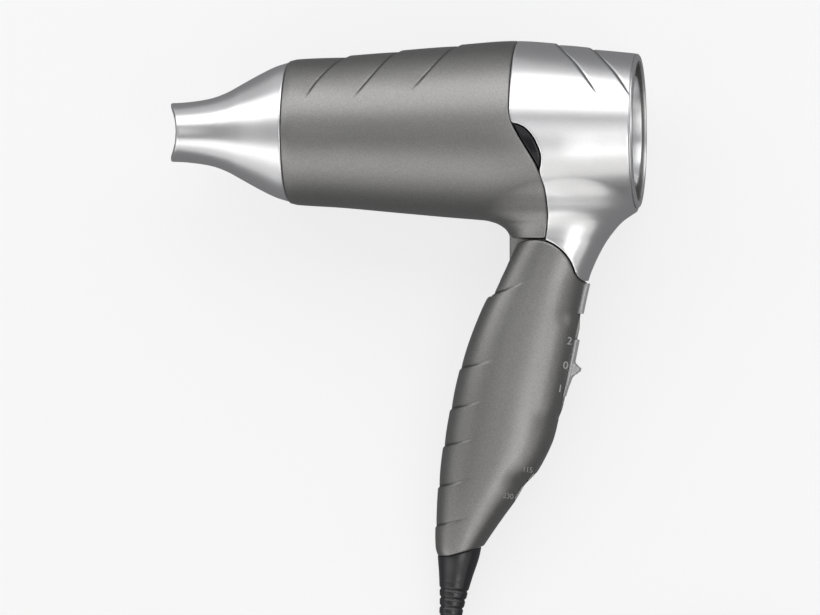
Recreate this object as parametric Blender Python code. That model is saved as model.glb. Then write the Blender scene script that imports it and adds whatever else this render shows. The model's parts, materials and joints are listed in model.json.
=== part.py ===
"""Folding travel hair dryer, lying on its right side with its cord coiled beside it.

The dryer is drawn in its own frame, in millimetres: X runs along the barrel towards the
intake, Y is the dryer's up, Z points out of its left side. The barrel's axis is Y = 0 and
the folding hinge is at X = 0. An empty then tips that frame onto the floor, in metres.
"""
import math

import bmesh
import bpy
from mathutils import Matrix, Vector

MM = 0.001

# How the dryer lies on the floor: tipped about the barrel until the handle touches.
TIP = math.radians(8.45)
FRAME_SHIFT = (54.4, 83.0, 36.915)

# Barrel and shells
FRONT_X = -101.7
REAR_X = 42.2
WALL = 1.8
GAP = 0.3
FRONT_BORE_R = 28.0
BARREL = [(FRONT_X, 28.9), (-100.8, 29.5), (-98.5, 30.0), (-80, 31.2), (-55, 33.5), (-30, 35.7),
          (-9, 37.0), (12, 35.5), (30, 33.2), (41.4, 31.8), (REAR_X, 31.3)]
RECESS_X = 32.0
RECESS_R = 28.3
FLANGE_R = 21.2
FLANGE_THICK = 1.8

# Parting line of the two shells on the barrel's side, and the silver edge of the inlay window
PARTING_TOP = [(-7.5, 42), (-7.5, 8), (-6.4, 3.2)]
WINDOW_FRONT = [(-3.1, -3.1), (0.1, -8.4), (2.8, -13.2)]
WINDOW_REAR = [(-3.3, 2.0), (-0.4, 0.4), (2.4, -2.8), (4.3, -6.6), (5.4, -10.4), (5.2, -13.8)]
PARTING_LOW = [(4.6, -17.6), (6.2, -24), (6.7, -32), (6.2, -39), (5.1, -45.5)]

# Neck and hinge
PIVOT = (0.0, -61.4)
EAR_R = 17.0
SOCKET_R = 17.5
NECK_FLAT_Y = -43.9
TONGUE_HALF = 8.0
SLOT_HALF = 9.2
WASHER = (8.3, 8.9)
WASHER_R = 8.0
TONGUE_R = 10.3
PIN_R = 3.0
PIN_HALF = 13.0
FOLD_LIMIT = math.radians(72)
NECK_FRONT = [(-20, -26), (-30, -24), (-34, -21.5), (-36.2, -18.4), (-37.9, -15.1), (-41.1, -11.8),
              (-44.4, -10.6), (-48.5, -10.4), (-63, -10.4)]
NECK_REAR = [(-20, 41.4), (-31.4, 41.4), (-37.9, 34.2), (-44.5, 28.9), (-51, 25.2), (-57.5, 22.3),
             (-63, 20.5)]
NECK_HALF = [(-20, 27.5), (-26, 25.4), (-30, 23.2), (-34, 20.6), (-38, 18.8), (-42, 17.7),
             (-46, 17.0), (-63, 16.6)]

# Handle, as positions (Y, X) down its front and rear edges and (Y, half thickness)
HANDLE_FRONT = [(-44, -7.9), (-61.4, -16.6), (-74, -23.0), (-93.5, -30.4), (-113, -35.4),
                (-136, -39.5), (-158, -41.4), (-170, -41.5), (-175, -40.0)]
HANDLE_REAR = [(-44, 29.2), (-51, 25.2), (-57.5, 22.3), (-61.4, 20.9), (-70, 18.9), (-89.4, 14.9),
               (-113, 9.8), (-126.2, 6.7), (-136.1, 2.2), (-145.9, -4.8), (-155.7, -12.3),
               (-165.6, -19.3), (-175, -25.5)]
HANDLE_HALF = [(-44, 17.1), (-61.4, 16.6), (-85, 17.3), (-105, 17.6), (-125, 17.0), (-145, 15.4),
               (-160, 13.4), (-170, 11.8), (-175, 10.8)]
HANDLE_WALL = 2.2
HANDLE_BOTTOM = [(-46, -172.6), (-40, -173.5), (-35, -173.4), (-28, -171.6), (-14, -167.0)]

# Slide switch in the rear edge
SLIDE_MID = (14.35, -96.9)
SLIDE_ALONG = Vector((0.195, 0.981, 0)).normalized()
SLIDE_OUT = Vector((0.981, -0.195, 0)).normalized()
SLIDE_LENGTH = 24.0
SLIDE_TRAVEL = 9.0
SLIDE_HALF_WIDTH = 5.0

# Voltage selector in its scoop
VOLT_MID = (-5.2, -145.3)
VOLT_ALONG = Vector((0.585, 0.811, 0)).normalized()
VOLT_OUT = Vector((0.811, -0.585, 0)).normalized()
VOLT_REST = 2.5

# Nozzle, as positions (X, half height) and (X, half width)
NOZZLE_HEIGHT = [(FRONT_X, 28.8), (-107.9, 26.8), (-114.5, 23.6), (-121.2, 19.9), (-127.8, 16.3),
                 (-134.5, 13.9), (-144.5, 12.4), (-153, 12.0)]
NOZZLE_WIDTH = [(FRONT_X, 28.8), (-110, 26.4), (-120, 23.4), (-130, 21.3), (-140, 20.3), (-153, 20)]
NOZZLE_WALL = 1.6
NOZZLE_SKIRT_R = 27.6
NOZZLE_SKIRT_END = -91.0
MOUTH_X = -151.0
MOUTH_RADIUS = 42.5

# Inside the barrel
GRILLE_X = (-90.4, -87.4)
MICA_X = (-86.8, -28.0)
MICA_R = 28.2
BOARD_HALF = 20.5
BOARD_THICK = 0.8
COIL_R = 21.5
COIL_WIRE_R = 0.5
COIL_PITCH = 11.0
COIL_START = -79.0
MOTOR_R = 12.0
MOTOR_X = (-18.0, 10.0)
DUCT_R = 31.2
DUCT_BORE_R = 28.6
DUCT_X = (-25.0, 25.0)
FAN_R = 27.8
FAN_X = (12.4, 23.0)
BLADES = 7

# Strain relief, cord and plug
RELIEF_TOP = (-32.0, -171.0)
RELIEF_DOWN = Vector((-0.13, -0.9915, 0)).normalized()
RELIEF_COLLAR = [(-5.4, 7.4), (-3.5, 7.4), (-3.5, 5.6), (8, 5.6)]
RELIEF_BODY = [(-4.0, 9.1), (2.2, 8.6), (11, 6.9), (22, 5.2), (33.5, 4.2)]
CORD_D = 6.8
RING_MIDDLE = (53.0, -196.0)
RING_TURN_R = 38.0
RING_COLUMNS = 3
RING_LAYERS = 2
RING_LOW = 1.6
LEAD = [(17.9, -120.1, 7.4), (16.6, -130, 5.95), (15.2, -140, 4.6), (13.3, -150, 3.8),
        (10.8, -160, 3.7), (7.8, -169.9, 3.7)]
TAIL = [(79.1, -241.3, 9.6), (92, -240.4, 6.4), (104, -235.6, 4.4), (113.6, -227.6, 4.7),
        (119.7, -217.2, 6.0), (121.8, -206.7, 7.4)]
PLUG_MIDDLE = (122.0, -162.0)
PLUG_HALF = (20.0, 24.0)
PLUG_HEIGHT = 26.0
PLUG_CORD_Z = 7.5
PLUG_RELIEF_LENGTH = 19.5
BLADE_SPACING = 12.7
BLADE = (1.5, 17.5, 6.3)
BUTTON_HALF = (5.0, 2.6)

DARK = ("dark_paint", (0.20, 0.20, 0.20), 0.42, 0.6)
SILVER = ("silver_paint", (0.62, 0.62, 0.63), 0.30, 0.8)
BLACK_GLOSS = ("black_gloss", (0.02, 0.02, 0.022), 0.12, 0.0)
BLACK_RUBBER = ("black_rubber", (0.025, 0.025, 0.027), 0.55, 0.0)
BLACK_PLASTIC = ("black_plastic", (0.03, 0.03, 0.032), 0.45, 0.0)
GREY_PLASTIC = ("grey_plastic", (0.42, 0.42, 0.43), 0.4, 0.1)
STEEL = ("steel", (0.6, 0.6, 0.62), 0.3, 1.0)
BRASS = ("brass", (0.75, 0.6, 0.3), 0.3, 1.0)
MICA = ("mica", (0.62, 0.55, 0.42), 0.5, 0.0)
WIRE = ("heating_wire", (0.45, 0.42, 0.4), 0.4, 1.0)
BOARD = ("circuit_board", (0.25, 0.33, 0.16), 0.6, 0.0)
RED = ("red_button", (0.6, 0.05, 0.04), 0.4, 0.0)


# ---------------------------------------------------------------- curves and outlines

def along(points, t):
    """Smooth value at t through (t, value) points, which run in order of falling t or rising t."""
    rising = points[-1][0] > points[0][0]
    pts = points if rising else points[::-1]
    t = min(max(t, pts[0][0]), pts[-1][0])
    i = max(k for k in range(len(pts) - 1) if pts[k][0] <= t)
    (t0, v0), (t1, v1) = pts[i], pts[i + 1]
    before = pts[i - 1] if i else pts[i]
    after = pts[i + 2] if i + 2 < len(pts) else pts[i + 1]
    s0 = (v1 - before[1]) / (t1 - before[0])
    s1 = (after[1] - v0) / (after[0] - t0)
    h = t1 - t0
    u = (t - t0) / h
    return (v0 * (1 + 2 * u) * (1 - u) ** 2 + v1 * u * u * (3 - 2 * u)
            + h * (s0 * u * (1 - u) ** 2 - s1 * u * u * (1 - u)))


def smooth_path(points, steps):
    """Points of a Catmull-Rom curve through the given points."""
    pts = [Vector(p) for p in points]
    ends = [2 * pts[0] - pts[1]] + pts + [2 * pts[-1] - pts[-2]]
    path = []
    for a, b, c, d in zip(ends, ends[1:], ends[2:], ends[3:]):
        for k in range(steps):
            u = k / steps
            path.append(0.5 * (2 * b + (c - a) * u + (2 * a - 5 * b + 4 * c - d) * u * u
                               + (3 * b - a - 3 * c + d) * u ** 3))
    return path + [pts[-1]]


def arc(centre, radius, start, end, steps):
    """Points of an arc, in degrees, in the XY plane."""
    angles = [math.radians(start + (end - start) * k / steps) for k in range(steps + 1)]
    return [(centre[0] + radius * math.cos(a), centre[1] + radius * math.sin(a)) for a in angles]


def superellipse(half_a, half_b, power, count):
    """Closed outline with the given half sizes; power 2 is an ellipse, higher is squarer."""
    points = []
    for k in range(count):
        a = 2 * math.pi * k / count
        c, s = math.cos(a), math.sin(a)
        points.append((half_a * math.copysign(abs(c) ** (2 / power), c),
                       half_b * math.copysign(abs(s) ** (2 / power), s)))
    return points


# ---------------------------------------------------------------- solids, in millimetres

def solid(verts, faces):
    """A mesh object from its vertices and faces, with its faces turned outwards."""
    mesh = bpy.data.meshes.new("solid")
    mesh.from_pydata([tuple(v) for v in verts], [], faces)
    bm = bmesh.new()
    bm.from_mesh(mesh)
    bmesh.ops.recalc_face_normals(bm, faces=bm.faces)
    bm.to_mesh(mesh)
    bm.free()
    body = bpy.data.objects.new("solid", mesh)
    bpy.context.scene.collection.objects.link(body)
    return body


def loft(sections):
    """A solid through closed sections with the same number of points, capped at both ends."""
    n = len(sections[0])
    verts = [p for section in sections for p in section]
    faces = [tuple(range(n)), tuple(range((len(sections) - 1) * n, len(sections) * n))]
    for k in range(len(sections) - 1):
        for i in range(n):
            j = (i + 1) % n
            faces.append((k * n + i, k * n + j, (k + 1) * n + j, (k + 1) * n + i))
    return solid(verts, faces)


def turned(profile, count, closed=False, origin=(0, 0, 0), axis=(1, 0, 0)):
    """A turned solid about an axis from (distance along, radius) points.

    A closed profile makes a ring; an open one is capped flat at both ends."""
    turn = Vector((1, 0, 0)).rotation_difference(Vector(axis)).to_matrix()
    origin = Vector(origin)
    rings = [[origin + turn @ Vector((x, r * math.cos(2 * math.pi * i / count),
                                      r * math.sin(2 * math.pi * i / count))) for i in range(count)]
             for x, r in profile]
    if not closed:
        return loft(rings)
    verts = [p for ring in rings for p in ring]
    faces = []
    for k in range(len(rings)):
        m = (k + 1) % len(rings)
        for i in range(count):
            j = (i + 1) % count
            faces.append((k * count + i, k * count + j, m * count + j, m * count + i))
    return solid(verts, faces)


def tube(x0, x1, outer, inner, count):
    return turned([(x0, outer), (x1, outer), (x1, inner), (x0, inner)], count, closed=True)


def rod(start, end, radius, count=16):
    start, end = Vector(start), Vector(end)
    length = (end - start).length
    return turned([(0, radius), (length, radius)], count, origin=start, axis=(end - start) / length)


def prism(outline, z0, z1):
    """The outline in XY, extruded from z0 to z1."""
    return loft([[(x, y, z) for x, y in outline] for z in (z0, z1)])


def block(low, high):
    (x0, y0, z0), (x1, y1, z1) = low, high
    return prism([(x0, y0), (x1, y0), (x1, y1), (x0, y1)], z0, z1)


def slanted_block(middle, u, v, half_u, half_v, half_z, shift_v=0.0):
    """A block with its sides along u and v in XY, its middle moved by shift_v along v."""
    c = Vector((middle[0], middle[1], 0)) + v * shift_v
    corners = [c + u * a * half_u + v * b * half_v for a, b in ((-1, -1), (1, -1), (1, 1), (-1, 1))]
    return prism([(p.x, p.y) for p in corners], -half_z, half_z)


def combine(target, tool, operation):
    """Apply one exact Boolean and drop the tool."""
    cut = target.modifiers.new("cut", "BOOLEAN")
    cut.operation = operation
    cut.object = tool
    shape = target.evaluated_get(bpy.context.evaluated_depsgraph_get())
    mesh = bpy.data.meshes.new_from_object(shape)
    target.modifiers.clear()
    target.data = mesh
    bpy.data.objects.remove(tool)
    return target


def union(target, *tools):
    for tool in tools:
        combine(target, tool, "UNION")
    return target


def minus(target, *tools):
    for tool in tools:
        combine(target, tool, "DIFFERENCE")
    return target


def common(target, tool):
    return combine(target, tool, "INTERSECT")


# ---------------------------------------------------------------- frame and naming

def empty(name, parent, location):
    """An empty at a place given in the dryer's frame, in millimetres."""
    point = bpy.data.objects.new(name, None)
    point.empty_display_size = 0.01
    bpy.context.scene.collection.objects.link(point)
    if parent:
        point.parent = parent
    point.location = Vector(location) * MM
    return point


def material(look):
    """A material of its own for each piece, from a (name, colour, roughness, metallic) look."""
    name, colour, roughness, metallic = look
    made = bpy.data.materials.new(name)
    made.use_nodes = True
    shader = made.node_tree.nodes["Principled BSDF"]
    shader.inputs["Base Color"].default_value = (*colour, 1)
    shader.inputs["Roughness"].default_value = roughness
    shader.inputs["Metallic"].default_value = metallic
    return made


def piece(name, body, look, holder):
    """Name a solid, scale it to metres and hang it on its joint's empty."""
    body.name = name
    body.data.name = name
    body.data.transform(Matrix.Scale(MM, 4) @ Matrix.Translation(-Vector(holder["at_mm"])))
    body.data.materials.clear()
    body.data.materials.append(material(look))
    body.data.shade_smooth()
    body.data.set_sharp_from_angle(angle=math.radians(35))
    body.parent = holder
    return body


def holders():
    """One empty for each rigid body, on its joint's axis, all under the tipped frame."""
    frame = empty("dryer_frame", None, FRAME_SHIFT)
    frame.rotation_euler = (TIP, 0, 0)
    places = {"handle": (0, 0, 0), "barrel": (*PIVOT, 0), "nozzle": (FRONT_X, 0, 0),
              "fan": (FAN_X[0], 0, 0), "switch": (*SLIDE_MID, 0), "selector": (*VOLT_MID, 0)}
    made = {}
    for name, place in places.items():
        made[name] = empty(name + "_axis", frame, place)
        made[name]["at_mm"] = place
    for name, place in (("floor", (0, 0, 0)),
                        ("test_button", (PLUG_MIDDLE[0], PLUG_MIDDLE[1] + 3.0, PLUG_HEIGHT)),
                        ("reset_button", (PLUG_MIDDLE[0], PLUG_MIDDLE[1] - 6.0, PLUG_HEIGHT))):
        made[name] = empty(name + "_axis", None, place)
        made[name]["at_mm"] = place
    return made


# ---------------------------------------------------------------- shells

def barrel_profile(inset, start, end, steps):
    return [(x, along(BARREL, x) - inset)
            for x in [start + (end - start) * k / steps for k in range(steps + 1)]]


def neck_loft(inset, low, levels):
    sections = []
    for y in [-20 + (low + 20) * k / levels for k in range(levels + 1)]:
        front, rear = along(NECK_FRONT, y) + inset, along(NECK_REAR, y) - inset
        half = along(NECK_HALF, y) - inset
        outline = superellipse((rear - front) / 2, half, 2.4, 24)
        sections.append([((rear + front) / 2 + x, y, z) for x, z in outline])
    return loft(sections)


def shell_outside():
    """Barrel and neck in one, before the shells are parted."""
    profile = [BARREL[0], BARREL[1]] + barrel_profile(0, BARREL[2][0], BARREL[-2][0], 9) + [BARREL[-1]]
    return union(turned(profile, 40), neck_loft(0, -63, 12))


def shell_cavity():
    """The hollow of both shells: barrel bore, neck passage and the stepped intake."""
    bore = [(FRONT_X - 2, FRONT_BORE_R)] + [(-98, FRONT_BORE_R)]
    bore += barrel_profile(WALL, -78, RECESS_X - FLANGE_THICK, 5)
    bore += [(RECESS_X - FLANGE_THICK, FLANGE_R), (RECESS_X, FLANGE_R), (RECESS_X, RECESS_R),
             (REAR_X + 2, RECESS_R)]
    passage = common(neck_loft(2.2, -41.5, 5), block((-30, -60, -40), (26, 10, 40)))
    return union(turned(bore, 32), passage)


def parting(window, shift):
    """The edge of a shell from the barrel's top to the neck's foot."""
    path = smooth_path([(x, y, 0) for x, y in PARTING_TOP[1:] + window + PARTING_LOW], 2)
    return [(PARTING_TOP[0][0] + shift, PARTING_TOP[0][1])] + [(p.x + shift, p.y) for p in path]


def tongue():
    """The flat tongue under the front shell, which enters the handle between its ears."""
    root = [(5.0, -40.5), (-TONGUE_R, -40.5)]
    outline = root + arc(PIVOT, TONGUE_R, 180, 345, 12) + [(9.4, -55), (5.0, -47.5)]
    body = prism(outline, -TONGUE_HALF, TONGUE_HALF)
    return minus(body, rod((*PIVOT, -20), (*PIVOT, 20), PIN_R + GAP, 20))


def front_housing():
    edge = [p for p in parting(WINDOW_FRONT, -GAP / 2) if p[1] > NECK_FLAT_Y]
    outline = [(-120, 42)] + edge + [(5.2, NECK_FLAT_Y), (-120, NECK_FLAT_Y)]
    shell = common(shell_outside(), prism(outline, -60, 60))
    return union(minus(shell, shell_cavity()), tongue())


def rear_foot(radius, drop):
    """The S shaped end of the hinge arc at the rear: from the arc out to the rear edge."""
    turn_off = arc(PIVOT, radius, 12, 12, 1)[0]
    curve = smooth_path([(*turn_off, 0), (18.4, -60.1 - drop, 0), (19.8, -61.2 - drop, 0),
                         (21.6, -61.5 - drop, 0)], 3)
    return [(p.x, p.y) for p in curve]


def rear_housing():
    edge = [p for p in parting(WINDOW_REAR, GAP / 2) if p[1] > PIVOT[1] + SOCKET_R * 0.96]
    hinge = arc(PIVOT, SOCKET_R, 72, 18, 9) + rear_foot(SOCKET_R, 0.0)
    outline = edge + hinge + [(60, -61.5), (60, 42)]
    shell = common(shell_outside(), prism(outline, -60, 60))
    return minus(shell, shell_cavity(),
                 prism([(-14, -36), (8, -36), (13, -56), (-14, -56)], -SLOT_HALF, SLOT_HALF))


def window_outline(grow):
    """The crescent between the two shells' edges, every side moved out by grow (in if negative)."""
    top, low = PARTING_TOP[-1][1], PARTING_LOW[0][1]
    rear = [p for p in parting(WINDOW_REAR, 0) if low - 0.1 < p[1] < top + 0.1]
    front = [p for p in parting(WINDOW_FRONT, 0) if low + 0.1 < p[1] < top - 0.1]
    path = [Vector(p) for p in rear + front[::-1]]
    points = []
    for k, here in enumerate(path):
        arriving = (here - path[k - 1]).normalized()
        leaving = (path[(k + 1) % len(path)] - here).normalized()
        out = Vector((arriving.y + leaving.y, -arriving.x - leaving.x))
        side = Vector((arriving.y, -arriving.x))
        reach = min(out.length / max(out.dot(side), 0.2), 3.0)
        points.append(tuple(here - out.normalized() * grow * reach))
    return points


def inlay(side):
    """Glossy crescent: a lens that shows through the window, on a flange under the shells."""
    under = WALL + 3 * GAP
    flange = common(turned(barrel_profile(under, -14, 14, 3), 48),
                    prism(window_outline(2.4), 2 * side, 60 * side))
    flange = minus(flange, turned(barrel_profile(under + 1.5, -16, 16, 3), 48))
    lens = common(turned(barrel_profile(0.7, -14, 14, 3), 48),
                  prism(window_outline(-0.45), 2 * side, 60 * side))
    lens = minus(lens, turned(barrel_profile(under + 0.3, -16, 16, 3), 48))
    return union(flange, lens)


def intake_ring():
    return turned([(RECESS_X + GAP, 22.6), (40.6, 22.6), (41.0, 22.0), (41.0, 21.4),
                   (RECESS_X + GAP, 20.9)], 36, closed=True)


def spoked_grille(x0, x1, radii, rim, hub, spokes, count):
    """Concentric rings on spokes, in one solid."""
    body = tube(x0, x1, rim, rim - 1.4, count)
    for radius in radii:
        union(body, tube(x0 + 0.2, x1 - 0.2, radius + 0.5, radius - 0.5, count * 2 // 3))
    union(body, rod((x0 + 0.1, 0, 0), (x1 - 0.1, 0, 0), hub, 16))
    for k in range(spokes):
        arm = block((x0 + 0.3, 0.2, -0.6), (x1 - 0.3, rim - 0.6, 0.6))
        arm.data.transform(Matrix.Rotation(2 * math.pi * k / spokes + 0.13, 4, "X"))
        union(body, arm)
    return body


def nozzle_section(x, inset):
    outline = superellipse(along(NOZZLE_HEIGHT, x) - inset, along(NOZZLE_WIDTH, x) - inset, 2.0, 32)
    return [(x, y, z) for y, z in outline]


def nozzle():
    stations = [-153, -145, -138, -132, -126, -120, -114, -108, FRONT_X - GAP]
    outer = loft([nozzle_section(x, 0) for x in stations])
    union(outer, rod((FRONT_X - 2, 0, 0), (NOZZLE_SKIRT_END, 0, 0), NOZZLE_SKIRT_R, 32))
    inner = loft([nozzle_section(x, NOZZLE_WALL) for x in [-156] + stations[1:-1]]
                 + [[(NOZZLE_SKIRT_END + 2, y * 26.1 / 28.8, z * 26.1 / 28.8)
                     for _, y, z in nozzle_section(FRONT_X, 0)]])
    lip = rod((MOUTH_X + MOUTH_RADIUS, -40, 0), (MOUTH_X + MOUTH_RADIUS, 40, 0), MOUTH_RADIUS, 60)
    return common(minus(outer, inner), lip)


# ---------------------------------------------------------------- inside the barrel

def notched_board(upright):
    """A mica board with a slot half its length, so that the two boards cross."""
    x0, x1 = MICA_X[0] + 4, MICA_X[1] - 3
    half = BOARD_THICK / 2
    middle = (x0 + x1) / 2
    slot = half + GAP
    if upright:
        body = block((x0, -BOARD_HALF, -half), (x1, BOARD_HALF, half))
        return minus(body, block((x0 - 1, -slot, -5), (middle + GAP, slot, 5)))
    body = block((x0, -half, -BOARD_HALF), (x1, half, BOARD_HALF))
    return minus(body, block((middle - GAP, -5, -slot), (x1 + 1, 5, slot)))


def heater_coil(name, shift, look, holder):
    """A wire wound round the crossed boards."""
    turns, per_turn = 4, 12
    points = []
    for k in range(turns * per_turn + 1):
        a = 2 * math.pi * k / per_turn
        points.append((COIL_START + COIL_PITCH * (shift + k / per_turn),
                       COIL_R * math.cos(a), COIL_R * math.sin(a)))
    at = Vector(holder["at_mm"])
    return cord_curve(name, [(Vector(p) - at) * MM for p in points], COIL_WIRE_R * MM, look, 0, holder)


def motor_mount():
    """A duct round the fan, with vanes that carry a cup for the motor."""
    body = tube(*DUCT_X, DUCT_R, DUCT_BORE_R, 32)
    union(body, tube(-16, 6, MOTOR_R + 2.0, MOTOR_R + 2 * GAP, 24))
    for k in range(5):
        vane = block((-14, MOTOR_R + 1.2, -0.8), (4, DUCT_BORE_R + 0.8, 0.8))
        vane.data.transform(Matrix.Rotation(2 * math.pi * k / 5 + 0.3, 4, "X"))
        union(body, vane)
    return body


def fan():
    """A hub with twisted blades."""
    body = turned([(FAN_X[0], 8.5), (FAN_X[1] - 2, 8.5), (FAN_X[1], 6.0)], 24)
    for k in range(BLADES):
        sections = []
        for radius, pitch in ((7.5, 50), (15, 38), (22, 30), (FAN_R - 0.2, 25)):
            a = math.radians(pitch)
            chord = 4.4
            middle = (FAN_X[0] + FAN_X[1]) / 2
            along_x, across = math.sin(a) * chord, math.cos(a) * chord * (0.7 + radius / 60)
            sections.append([(middle + s * along_x + t * 0.45, radius, s * across - t * 0.3)
                             for s, t in ((-1, -1), (1, -1), (1, 1), (-1, 1))])
        blade = loft(sections)
        blade.data.transform(Matrix.Rotation(2 * math.pi * k / BLADES, 4, "X"))
        union(body, blade)
    return minus(body, rod((FAN_X[0] - 1, 0, 0), (FAN_X[1] - 3, 0, 0), 1.6, 12))


# ---------------------------------------------------------------- handle

def handle_loft(inset, top, bottom, levels, count):
    sections = []
    for k in range(levels + 1):
        y = top + (bottom - top) * k / levels
        front, rear = along(HANDLE_FRONT, y) + inset, along(HANDLE_REAR, y) - inset
        outline = superellipse((rear - front) / 2, along(HANDLE_HALF, y) - inset, 2.4, count)
        sections.append([((rear + front) / 2 + x, y, z) for x, z in outline])
    return loft(sections)


def tongue_slot():
    """The space between the ears that the tongue sweeps as the dryer folds."""
    clear = TONGUE_R + 0.5
    swung = Vector((0, 1)) @ Matrix.Rotation(-FOLD_LIMIT - math.radians(3), 2)
    side = Vector((-swung.y, swung.x))
    tangent = Vector(PIVOT) + side * clear
    far = tangent + swung * 40
    start = math.degrees(math.atan2(side.y, side.x)) % 360
    outline = [(far.x, far.y)] + arc(PIVOT, clear, start, 360, 12) + [(clear, -30), (-60, -30)]
    return prism(outline, -SLOT_HALF, SLOT_HALF)


SCREW_PLACES = [(-10.5, -88.0), (-20.5, -122.0), (-22.5, -144.0)]
CLAMP_MIDDLE = Vector((*RELIEF_TOP, 0)) - RELIEF_DOWN * 14
CLAMP_ACROSS = Vector((-RELIEF_DOWN.y, RELIEF_DOWN.x, 0))
CLAMP_SCREWS = [CLAMP_MIDDLE + CLAMP_ACROSS * s for s in (-4.6, 4.6)]


def handle_half(side):
    """One moulded half, with an ear, screw bosses, the hinge pin's blind hole and the slots."""
    foot = rear_foot(EAR_R, 0.5)
    outline = ([(-70, PIVOT[1])] + arc(PIVOT, EAR_R, 180, 12, 16) + foot[1:] + [(40, -62.0)]
               + HANDLE_BOTTOM[::-1] + [(-70, -172.6)])
    body = common(handle_loft(0, -44, -175, 18, 32), prism(outline, 0.15 * side, 60 * side))
    hollow = handle_loft(HANDLE_WALL, -80, -165, 8, 20)
    for x, y in SCREW_PLACES:
        minus(hollow, rod((x, y, -30), (x, y, 30), 3.4, 14))
    for p in CLAMP_SCREWS:
        minus(hollow, rod((p.x, p.y, -30), (p.x, p.y, -3.3), 2.3, 12))
    minus(body, hollow, tongue_slot(), rod((*PIVOT, -PIN_HALF - GAP), (*PIVOT, PIN_HALF + GAP),
                                           PIN_R + GAP, 20))
    minus(body, slanted_block(SLIDE_MID, SLIDE_ALONG, SLIDE_OUT, SLIDE_LENGTH / 2 + SLIDE_TRAVEL + 0.6,
                              5, SLIDE_HALF_WIDTH + GAP, shift_v=3.1),
          slanted_block(SLIDE_MID, SLIDE_ALONG, SLIDE_OUT, 3 + SLIDE_TRAVEL, 5, 1.8, shift_v=-4))
    minus(body, slanted_block(VOLT_MID, VOLT_ALONG, VOLT_OUT, 7.0, 5, 4.5, shift_v=3.2),
          slanted_block(VOLT_MID, VOLT_ALONG, VOLT_OUT, VOLT_REST + 1.4, 5, 1.5, shift_v=-3.5))
    down = Vector((RELIEF_TOP[0], RELIEF_TOP[1], 0))
    minus(body, rod(down - RELIEF_DOWN * 8, down + RELIEF_DOWN * 8, 5.9, 20),
          rod(down - RELIEF_DOWN * 9, down - RELIEF_DOWN * 3.1, 7.8, 20))
    if side < 0:
        for p in CLAMP_SCREWS:
            minus(body, rod((p.x, p.y, -8), (p.x, p.y, 0), 1.4, 10))
    for x, y in SCREW_PLACES:
        if side < 0:
            minus(body, rod((x, y, -40), (x, y, 40), 1.7, 12), rod((x, y, -40), (x, y, -9.5), 3.0, 12))
        else:
            minus(body, rod((x, y, -1), (x, y, 10.3), 1.7, 12))
    return body


def screw(head, tip, shank_r=1.4, head_r=2.6, head_height=1.6):
    """A pan head screw from the top of its head to its tip."""
    head = Vector(head)
    length = (Vector(tip) - head).length
    direction = (Vector(tip) - head) / length
    profile = [(0, head_r * 0.75), (0.5, head_r), (head_height, head_r), (head_height, shank_r),
               (length - 1, shank_r), (length, shank_r * 0.4)]
    return turned(profile, 10, origin=head, axis=direction)


def slider():
    """Slide switch knob: a curved plate, a thumb nub and the stem that drives the switch."""
    plate = slanted_block(SLIDE_MID, SLIDE_ALONG, SLIDE_OUT, SLIDE_LENGTH / 2, 1.1,
                          SLIDE_HALF_WIDTH, shift_v=-0.5)
    u, v = SLIDE_ALONG, SLIDE_OUT
    c = Vector((*SLIDE_MID, 0))
    nub = [(4.5, 0.2), (3.0, 1.2), (1.0, 3.2), (0.0, 3.7), (-1.4, 2.8), (-3.4, 1.3), (-5.2, 0.2)]
    corners = [c + u * a + v * b for a, b in nub]
    union(plate, prism([(p.x, p.y) for p in corners], -SLIDE_HALF_WIDTH + 0.6, SLIDE_HALF_WIDTH - 0.6))
    return union(plate, slanted_block(SLIDE_MID, u, v, 1.6, 2.0, 1.3, shift_v=-2.9))


def volt_slider():
    rest = Vector((*VOLT_MID, 0)) + VOLT_ALONG * VOLT_REST
    knob = slanted_block(rest, VOLT_ALONG, VOLT_OUT, 2.6, 0.8, 3.6, shift_v=-0.6)
    return union(knob, slanted_block(rest, VOLT_ALONG, VOLT_OUT, 1.0, 1.6, 1.0, shift_v=-2.8))


def bezel():
    """The grey strip that stands on the rear edge above the slide switch."""
    top, low = -62.2, -74.6
    outer = [(along(HANDLE_REAR, y) + 1.0, y) for y in (top, -65, -68, -71.5, low)]
    inner = [(x - 1.9, y) for x, y in outer[::-1]]
    return prism(outer + inner, -4.4, 4.4)


def bezel_seat():
    outer = [(along(HANDLE_REAR, y) + 4.0, y) for y in (-61.0, -75.0)]
    return prism(outer + [(x - 5.2, y) for x, y in outer[::-1]], -4.7, 4.7)


# ---------------------------------------------------------------- cord and plug

def cord_curve(name, points, radius, look, resolution, holder=None):
    """A round tube along a polyline, as a curve with filled caps."""
    curve = bpy.data.curves.new(name, "CURVE")
    curve.dimensions = "3D"
    curve.bevel_depth = radius
    curve.bevel_resolution = resolution
    curve.use_fill_caps = True
    spline = curve.splines.new("POLY")
    spline.points.add(len(points) - 1)
    for point, place in zip(spline.points, points):
        point.co = (*place, 1)
    curve.materials.append(material(look))
    body = bpy.data.objects.new(name, curve)
    bpy.context.scene.collection.objects.link(body)
    if holder:
        body.parent = holder
    return body


def cord_clamp():
    """A bar with two screw holes that grips the cord inside the handle."""
    u, v = CLAMP_ACROSS, RELIEF_DOWN
    corners = [CLAMP_MIDDLE + u * a * 7.0 + v * b * 2.0 for a, b in ((-1, -1), (1, -1), (1, 1), (-1, 1))]
    bar = prism([(p.x, p.y) for p in corners], -3.0, -0.4)
    return minus(bar, *[rod((p.x, p.y, -5), (p.x, p.y, 3), 1.4, 10) for p in CLAMP_SCREWS])


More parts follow.
